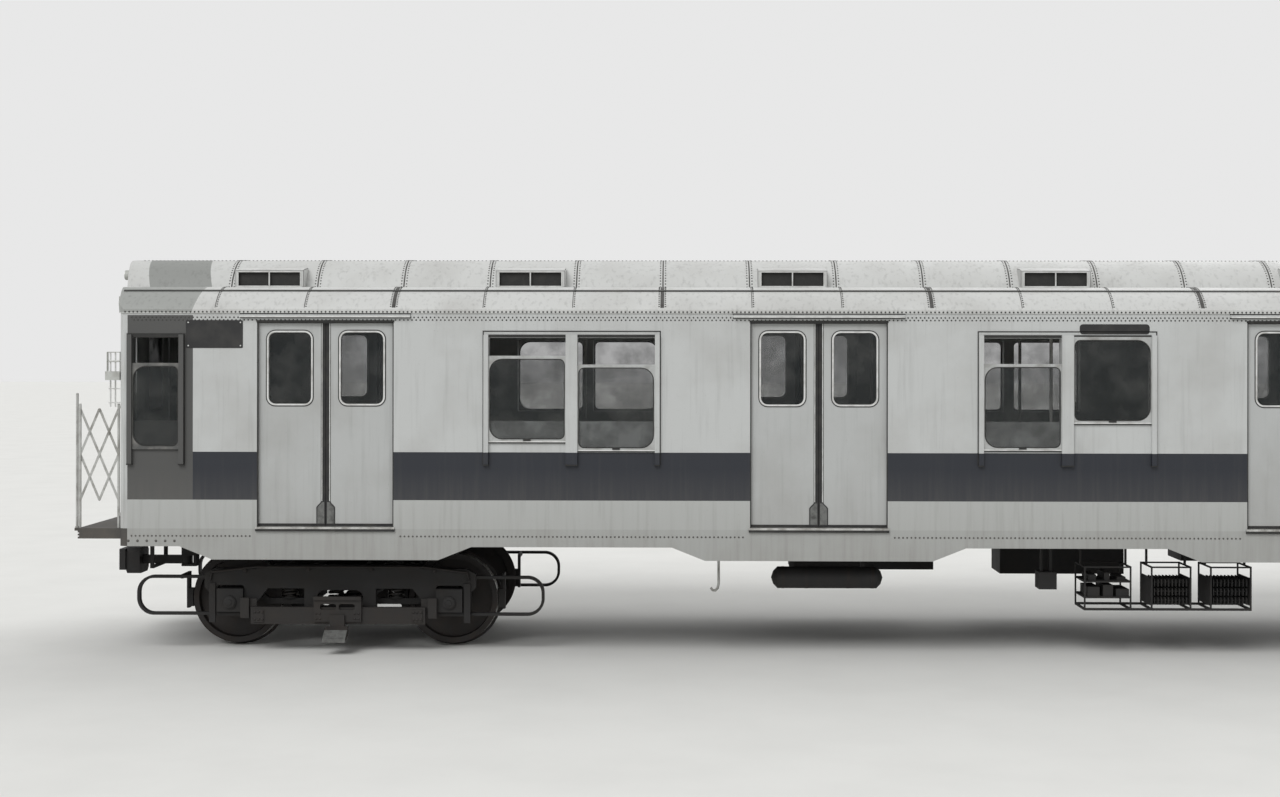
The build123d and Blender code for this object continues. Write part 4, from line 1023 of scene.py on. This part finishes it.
for end, endSign in endSigns.items():
    lids, bolts, pipes, shoes = [], [], [], []
    truckX, body = endSign * car["truckX"], f"truck_{end}"
    for side, sign in sideSigns.items():
        centreU = -sign * truckX

        def boltHeads(spots, y, size):
            return rivetShape([(-sign * (centreU + u), sign * y, z) for u, z in spots], (0, sign, 0), size)

        for step in (-1, 1):
            u = step * car["axleX"]
            lids.append(onSide(latheShape(truckDress["lid"]), side, centreU + u, truckDress["journalZ"],
                               truckDress["lidY"]))
            circle, y, size = truckDress["lidBolts"]
            spots = [(u + circle * math.cos(turn), truckDress["journalZ"] + circle * math.sin(turn))
                     for turn in np.radians([45, 135, 225, 315])]
            bolts.append(boltHeads(spots, y, size))
            for along, heights, y, size in truckDress["boltRows"]:
                bolts.append(boltHeads([(step * x, z) for x in along for z in heights], y, size))
        path = [(-sign * (centreU + x), sign * truckDress["pipeY"], rail + z) for x, z in truckDress["pipe"]]
        pipes.append(tubeShape(path, truckDress["pipeRadius"], -axisY))
        for x, z in truckDress["clips"]:
            pipes.append(sideBox(side, centreU + x, rail + z, *truckDress["clip"], truckDress["pipeY"]))
        low, high = np.array([(truckX, sign * y, rail + z) for y, z in truckDress["shoe"]])
        length = np.linalg.norm(high - low)
        along, (width, *depth) = (high - low) / length, truckDress["shoePlate"]
        shoes.append(placed(boxShape(length, width, *depth), (low + high) / 2, along, sign * axisX,
                            np.cross(along, sign * axisX)))
        shoes.append(sideBox(side, centreU, *truckDress["shoeToe"]))
    newPiece(f"contact_shoes_{end}", shoes, "guardSteel", body=body)
    newPiece(f"journal_lids_{end}", lids, "castSteelShaded", 40, body)
    newPiece(f"truck_bolts_{end}", bolts, "wheelSteel", 60, body)
    newPiece(f"brake_pipes_{end}", pipes, "wheelSteel", 50, body)
    for axle, step in (("outer", endSign), ("inner", -endSign)):
        x = truckX + step * car["axleX"]
        bands = [onSide(hoopShape(truckDress["tread"], 72), side, -sign * x, truckDress["journalZ"], 0.0)
                 for side, sign in sideSigns.items()]
        newPiece(f"tread_bands_{end}_{axle}", bands, "treadSteel", 40, f"wheelset_{end}_{axle}")
print("trucks dressed")


# Folding gates of the platform corners, in place of the plain ones: a riveted lattice of flat bars between two posts,
# linked to a corner pole. Bars and pivots are given as shares of the lattice's width and height.
gates = {
    "posts": (8.810, 9.170),
    "postWidth": 0.018,
    "postEdge": 0.003,
    "pole": 9.198,
    "poleFoot": ((0, 0), (0.018, 0), (0.018, 0.012), (0.012, 0.016)),
    "poleHead": ((0.012, -0.016), (0.0128, -0.010), (0.009, -0.003), (0, 0)),
    "y": 1.400,
    "low": rail + 1.420,
    "high": rail + 2.270,
    "postFoot": rail + 1.162,
    "postTop": rail + 2.320,
    "poleTop": rail + 2.420,
    "bar": (0.022, 0.0045),
    "barGap": 0.003,
    "bars": ((0, 0, 1, 1), (0.5, 0, 1, 0.5), (0, 0.5, 0.5, 1)),
    "pivots": ((0.25, 0.25), (0.75, 0.25), (0.5, 0.5), (0.25, 0.75), (0.75, 0.75), (0.5, 0), (0.5, 1)),
    "pivotHead": (0.0052, 0.8),
    "links": (rail + 1.300, rail + 2.300),
    # from, to, drop, width, thickness, rounding
    "linkBars": ((9.170, 9.198, 0.0, 0.016, 0.008, 0.001), (8.772, 8.810, 0.010, 0.030, 0.020, 0.003)),
}
shapes = []
near, far = gates["posts"]
post = boxShape(gates["postWidth"], gates["postWidth"], 0, gates["postTop"] - gates["postFoot"], gates["postEdge"])
tall = gates["poleTop"] - gates["postFoot"]
pole = latheShape([*gates["poleFoot"], *((r, tall + h) for r, h in gates["poleHead"])], 16)
for endSign in endSigns.values():
    for y in (-gates["y"], gates["y"]):

        def at(a, b, out):
            return (endSign * (near + a * (far - near)), y + out, gates["low"] + b * (gates["high"] - gates["low"]))

        gap = gates["barGap"]
        for a, b, c, d in gates["bars"]:
            shapes.append(barShape(at(a, b, gap), at(c, d, gap), *gates["bar"]))
            shapes.append(barShape(at(1 - a, b, -gap), at(1 - c, d, -gap), *gates["bar"]))
        proud, size = gates["pivotHead"]
        for out in (-1, 1):
            shapes.append(rivetShape([at(a, b, out * proud) for a, b in gates["pivots"]], (0, out, 0), size))
        for shape, x in ((post, near), (post, far), (pole, gates["pole"])):
            shapes.append(standing(shape, (endSign * x, y, gates["postFoot"])))
        for z in gates["links"]:
            for start, stop, drop, *size in gates["linkBars"]:
                shapes.append(barShape((endSign * start, y, z - drop), (endSign * stop, y, z - drop), *size))
piece = newPiece("lattice_gates", shapes, "gateZinc", 40)
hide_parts("end_gates")
print("gates ready")


# Under the floor: long pipes on clips, a hose hook, straps of the tank, covers and latches of the boxes.
under = {
    "pipes": ((-1.050, 0.990, 0.020), (-0.995, 0.985, 0.014), (0.700, 0.990, 0.020), (0.640, 0.985, 0.014)),
    "reach": 4.560,
    "floor": 1.027,
    "bearerPitch": 1.130,
    "clipLength": 0.036,
    "clipOver": 0.010,
    "clipWall": 0.004,
    "hook": ((-3.205, 1.010), (-3.205, 0.640), (-3.214, 0.596), (-3.236, 0.574), (-3.262, 0.576), (-3.280, 0.600)),
    "hookY": -1.250,
    "hookRadius": 0.012,
    "tankXs": (-2.600, -2.380, -1.990, -1.760),
    "tankAxis": (-1.150, rail + 0.687),
    "band": ((0.098, -0.014), (0.104, -0.014), (0.104, 0.014), (0.098, 0.014)),
    "boxes": ((-2.400, -0.900, 0.520), (-0.200, 1.100, 0.480), (1.700, 2.600, 0.620)),
    "boxFace": 1.320,
    "boxTop": 1.025,
    "longBox": 1.2,
    "margins": (0.03, 0.04),
    "coverGap": 0.016,
    "coverDepth": (sunk, 0.010, 0.004),
    "latch": (0.030, 0.070, 0.008, 0.024, 0.005),
    "latchShares": (0.30, 0.36),
}
pipes = []
for y, z, radius in under["pipes"]:
    path = [(x, y, rail + z) for x in np.linspace(-under["reach"], under["reach"], 3)]
    pipes.append(tubeShape(path, radius, axisZ, 10))
    low = z - radius - under["clipWall"]
    clip = boxShape(under["clipLength"], 2 * radius + under["clipOver"], 0, under["floor"] - low)
    for number in range(-4, 5):
        pipes.append(standing(clip, (number * under["bearerPitch"], y, rail + low)))
newPiece("floor_pipes", pipes, "wheelSteel", 50)
hooks = []
for sign in (-1, 1):
    path = [(-sign * x, -sign * under["hookY"], rail + z) for x, z in under["hook"]]
    hooks.append(tubeShape(path, under["hookRadius"], axisY))
newPiece("hose_hooks", hooks, "gateZinc", 50)
bands = [placed(hoopShape(under["band"], 28), (x, *under["tankAxis"]), axisY, axisZ, axisX) for x in under["tankXs"]]
newPiece("tank_bands", bands, "wheelSteel", 40)
covers = []
aside, above = under["margins"]
for low, high, bottom in under["boxes"]:
    count = 3 if high - low > under["longBox"] else 2
    width, tall = (high - low - 2 * aside) / count, under["boxTop"] - bottom - 2 * above
    z = rail + (under["boxTop"] + bottom) / 2
    for number in range(count):
        u = -(low + aside + width * (number + 0.5))
        covers.append(sideBox("right", u, z, width - under["coverGap"], tall, *under["coverDepth"], under["boxFace"]))
        a, b = under["latchShares"]
        for step in (-1, 1):
            covers.append(sideBox("right", u + step * width * a, z - tall * b, *under["latch"], under["boxFace"]))
newPiece("box_covers", covers, "trackBlack")
print("underfloor dressed")


# Ends: rims and pane of the door, its lever and kick plate, window rims, grab rails, lamp glasses and sign panes, and
# the controls at the corners with their cable loops and rods.
endDress = {
    "leafX": 8.915,
    "light": (0.480, 0.760, 0.060),
    "lightZ": rail + 2.600,
    "lightRim": (0.015, 0.017, -0.015, 0.004, 0.0015),
    "paneIn": 0.0175,
    "leverAt": (-0.330, rail + 2.080),
    "leverPlate": (0.052, 0.190, 0.020),
    "leverDepth": (sunk, 0.005, 0.0015),
    "grip": ((0, 0.030, 0.002), (0, 0.030, 0.014), (0.040, 0.030, 0.0145), (0.110, 0.030, 0.0145)),
    "gripRadius": 0.006,
    "kick": (0.700, 0.230, sunk, 0.0025, 0.0008),
    "kickZ": rail + 1.310,
    "wallWindow": (0.4783, 0.640, 0.060),
    "wallPoint": (8.8745, 0.935),
    # rim heights at -Y and +Y; the windows are both at rail + 2.720, so the rim at +Y lies 28 mm too low
    "wallRimZ": {-1: rail + 2.720, 1: 2.720},
    "wallRim": (0.017, 0.022, -0.004, 0.005, 0.0015),
    "wallNormal": (0.98274, 0.18498),
    "railU": 0.510,
    "railZ": (rail + 1.620, rail + 2.420),
    "railOut": 0.050,
    "railTurn": 0.018,
    "railRadius": 0.011,
    "railFoot": ((0, sunk), (0.024, sunk), (0.024, 0.004), (0.016, 0.008), (0, 0.008)),
    # across, height, face, ring diameter, ring width, ring front, lens size
    "lamps": ((0.720, rail + 3.550, 8.960, 0.094, 0.010, 0.006, 1.0),
              (1.100, rail + 3.2675, 8.885, 0.112, 0.014, 0.008, 1.2)),
    "lens": ((0, sunk), (0.038, sunk), (0.038, 0.003), (0.031, 0.008), (0.017, 0.011), (0, 0.012)),
    "signs": ((0.310, 0.470), (-0.195, 0.260)),
    "signZ": rail + 3.4575,
    "signGlass": (0.295, 0.0055, 0.0115, 0.001),
    "signRim": (0.012, 0.017, 0.022, 0.001),
    "signRimOver": 0.030,
    "controlY": 1.410,
    "control": ((8.786, 2.581), (8.922, 2.581), 0.082, 0.085),
    "loop": ((8.792, 8.912), (2.624, 2.800)),
    "loopBar": (0.009, 0.030),
    "rods": (8.838, 8.884),
    "rodZs": (2.290, 2.545, 2.800),
    "rodRadius": 0.0075,
    "clamps": (2.330, 2.460, 2.720),
    "clampXs": (8.780, 8.898),
    "clampBar": (0.012, 0.024),
    # least distance from the middle and heights between which the plain boxes at the corners lie
    "plainBoxes": (1.34, rail + 2.5, rail + 3.0),
}

# The fittings of the ends as they are in the frame, but without the plain boxes at the corners.
source = nodes["end_fittings"]
mesh = source.data
points = np.empty(3 * len(mesh.vertices))
mesh.vertices.foreach_get("co", points)
points = points.reshape(-1, 3) @ np.array(source.matrix_world.to_3x3()).T + np.array(source.matrix_world.translation)
mesh.calc_loop_triangles()
triangles = np.empty(3 * len(mesh.loop_triangles), int)
mesh.loop_triangles.foreach_get("vertices", triangles)
points, place = np.unique(np.round(points, 6), axis=0, return_inverse=True)
triangles = place.reshape(-1)[triangles].reshape(-1, 3)
beyond, low, high = endDress["plainBoxes"]
aside = (np.abs(points[:, 1]) > beyond) & (points[:, 2] > low) & (points[:, 2] < high)
used, place = np.unique(triangles[~aside[triangles].all(axis=1)], return_inverse=True)
irons = (points[used], [place.reshape(-1, 3)])
piece = newPiece("end_irons", [irons], "fittingEnamel", 40)
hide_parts("end_fittings")
print("end irons ready")


def endDoorPieces(end):
    body, d = f"end_door_{end}", endDress
    pane = onEnd(paneShape(d["light"]), end, 0, d["lightZ"], d["leafX"] - d["paneIn"])
    newPiece(body + "_pane", [pane], "endGlass", body=body)
    lever = plateShape(roundedOutline(*d["leverPlate"], 4), *d["leverDepth"])
    grip = tubeShape(d["grip"], d["gripRadius"], axisY)
    rows = ((rimAround(d["light"], *d["lightRim"]), (0, d["lightZ"])), (boxShape(*d["kick"]), (0, d["kickZ"])),
            (lever, d["leverAt"]), (grip, d["leverAt"]))
    newPiece(body + "_trim", [onEnd(shape, end, *at, d["leafX"]) for shape, at in rows], "trimAluminium",
             40, body)


def grabRail(end, u):
    # Upright rail that turns in to the wall at both ends, each with a round foot.
    low, high = endDress["railZ"]
    out, turnIn, half = endDress["railOut"], endDress["railTurn"], (high - low) / 2
    upper = [(0, half - turnIn, out), (0, half - turnIn * 0.3, out - turnIn * 0.3), (0, half, out - turnIn),
             (0, half, -0.002)]
    path = [(x, -y, z) for x, y, z in upper[::-1]] + upper
    shapes = [onEnd(tubeShape(path, endDress["railRadius"], axisX, 10), end, u, (low + high) / 2)]
    return shapes + [onEnd(latheShape(endDress["railFoot"], 16), end, u, z) for z in (low, high)]


for end, sign in endSigns.items():
    d = endDress
    endDoorPieces(end)
    rims, controls, lenses, signGlass = [], [], [], []
    for step in (-1, 1):
        along, across = d["wallNormal"]
        normal = (sign * along, step * across, 0)
        x, y = d["wallPoint"]
        rims.append(placed(rimAround(d["wallWindow"], *d["wallRim"]), (sign * x, step * y, d["wallRimZ"][step]),
                           (-normal[1], normal[0], 0), axisZ, normal))
        rims += grabRail(end, step * d["railU"])
        for u, z, x, size, width, proud, scale in d["lamps"]:
            ring = rimShape(roundedOutline(size, size, size / 2 - 0.0005), width, sunk, proud, 0.002)
            rims.append(onEnd(ring, end, step * u, z, x))
            lens = latheShape([(r * scale, h) for r, h in d["lens"]])
            lenses.append(onEnd(lens, end, step * u, z, x))

        def corner(x, z):
            return (sign * x, step * d["controlY"], rail + z)

        start, stop, width, thick = d["control"]
        controls.append(barShape(corner(*start), corner(*stop), width, thick, edge=0.006))
        (near, far), (low, high) = d["loop"]
        middle = (low + high) / 2
        for a, b in (((near, low), (near, high)), ((near, high), (far, high)), ((far, high), (far, low)),
                     ((near, middle), (far, middle))):
            controls.append(barShape(corner(*a), corner(*b), *d["loopBar"]))
        for x in d["rods"]:
            rims.append(tubeShape([corner(x, z) for z in d["rodZs"]], d["rodRadius"], axisY, 10))
        near, far = d["clampXs"]
        rims += [barShape(corner(near, z), corner(far, z), *d["clampBar"]) for z in d["clamps"]]
    for u, width in d["signs"]:
        height, *depth = d["signGlass"]
        signGlass.append(onEnd(boxShape(width, height, *depth), end, u, d["signZ"]))
        outline = roundedOutline(width + d["signRimOver"], height + d["signRimOver"], 0.006, 2)
        rims.append(onEnd(rimShape(outline, *d["signRim"]), end, u, d["signZ"]))
    newPiece(f"end_trim_{end}", rims, "trimAluminium", 40)
    newPiece(f"lamp_lenses_{end}", lenses, "lensGlass", 40)
    newPiece(f"sign_panes_{end}", signGlass, "plateEnamel")
    newPiece(f"corner_controls_{end}", controls, "fittingEnamel")
print("ends dressed")


# Camera at the photograph's place: almost level and square to the side. Turns are in degrees.
view = {
    "place": (-3.546, -17.647, 2.825),
    "turn": (90.069, -0.073, 0.804),
    "lens": 49.15,
    "sensor": 36.0,
    "shiftX": -0.0141,
    "shiftY": -0.0370,
}
lensData = bpy.data.cameras.new("camera")
lensData.lens = view["lens"]
lensData.sensor_width = view["sensor"]
lensData.shift_x = view["shiftX"]
lensData.shift_y = view["shiftY"]
lensData.clip_end = 400
camera = bpy.data.objects.new("camera", lensData)
camera.location = view["place"]
camera.rotation_euler = [math.radians(angle) for angle in view["turn"]]
bpy.context.scene.collection.objects.link(camera)
bpy.context.scene.camera = camera
bpy.context.scene.view_settings.view_transform = "Standard"

# Plain floor under the flange tips.
studio = {
    "floor": "#dcdcd9",
    "floorCloud": "#d2d2cf",
    "floorNoise": (900, 0.4, 0.8, 0.5),
    "floorRoughness": 0.85,
    "floorHalf": 150.0,
    "skySeen": 0.806,
    "skyLight": 0.42,
}
floorMaterial, tree, shader, place = newMaterial("studioFloor")
colour, noise = soiled(tree, place, studio["floor"], studio["floorCloud"], *studio["floorNoise"])
tree.links.new(colour, shader.inputs["Base Color"])
shader.inputs["Roughness"].default_value = studio["floorRoughness"]
half = studio["floorHalf"]
floorMesh = bpy.data.meshes.new("studio_floor")
floorMesh.from_pydata([(-half, -half, 0), (half, -half, 0), (half, half, 0), (-half, half, 0)], [], [(0, 1, 2, 3)])
floorMesh.materials.append(floorMaterial)
floor = bpy.data.objects.new("studio_floor", floorMesh)
bpy.context.scene.collection.objects.link(floor)

# Soft sky and three wide suns; what the camera, gloss and glass see of the sky is a pale even grey.
world = bpy.data.worlds.new("studioSky")
bpy.context.scene.world = world
world.use_nodes = True
tree = world.node_tree
tree.nodes.clear()
rays = addNode(tree, "LightPath").node
seen = rays.outputs["Is Camera Ray"]
for kind in ("Is Glossy Ray", "Is Transmission Ray"):
    seen = addNode(tree, "Math", {0: seen, 1: rays.outputs[kind]}, operation="MAXIMUM")
strength = addNode(tree, "MapRange", {0: seen, 1: 0.0, 2: 1.0, 3: studio["skyLight"], 4: studio["skySeen"]})
backdrop = addNode(tree, "Background", {"Color": (1, 1, 1, 1), "Strength": strength})
addNode(tree, "OutputWorld", {"Surface": backdrop})
# Where each sun stands, its strength, and its width in degrees.
suns = {
    "key": ((-0.45, -0.85, 0.95), 1.75, 35),
    "fill": ((0.70, 0.85, 0.80), 1.10, 50),
    "top": ((0.10, 0.05, 1.00), 0.20, 60),
}
for name, (way, power, angle) in suns.items():
    lamp = bpy.data.lights.new(name, "SUN")
    lamp.energy = power
    lamp.angle = math.radians(angle)
    sun = bpy.data.objects.new(name, lamp)
    sun.rotation_euler = Vector(way).to_track_quat("Z", "Y").to_euler()
    bpy.context.scene.collection.objects.link(sun)
print("studio ready")
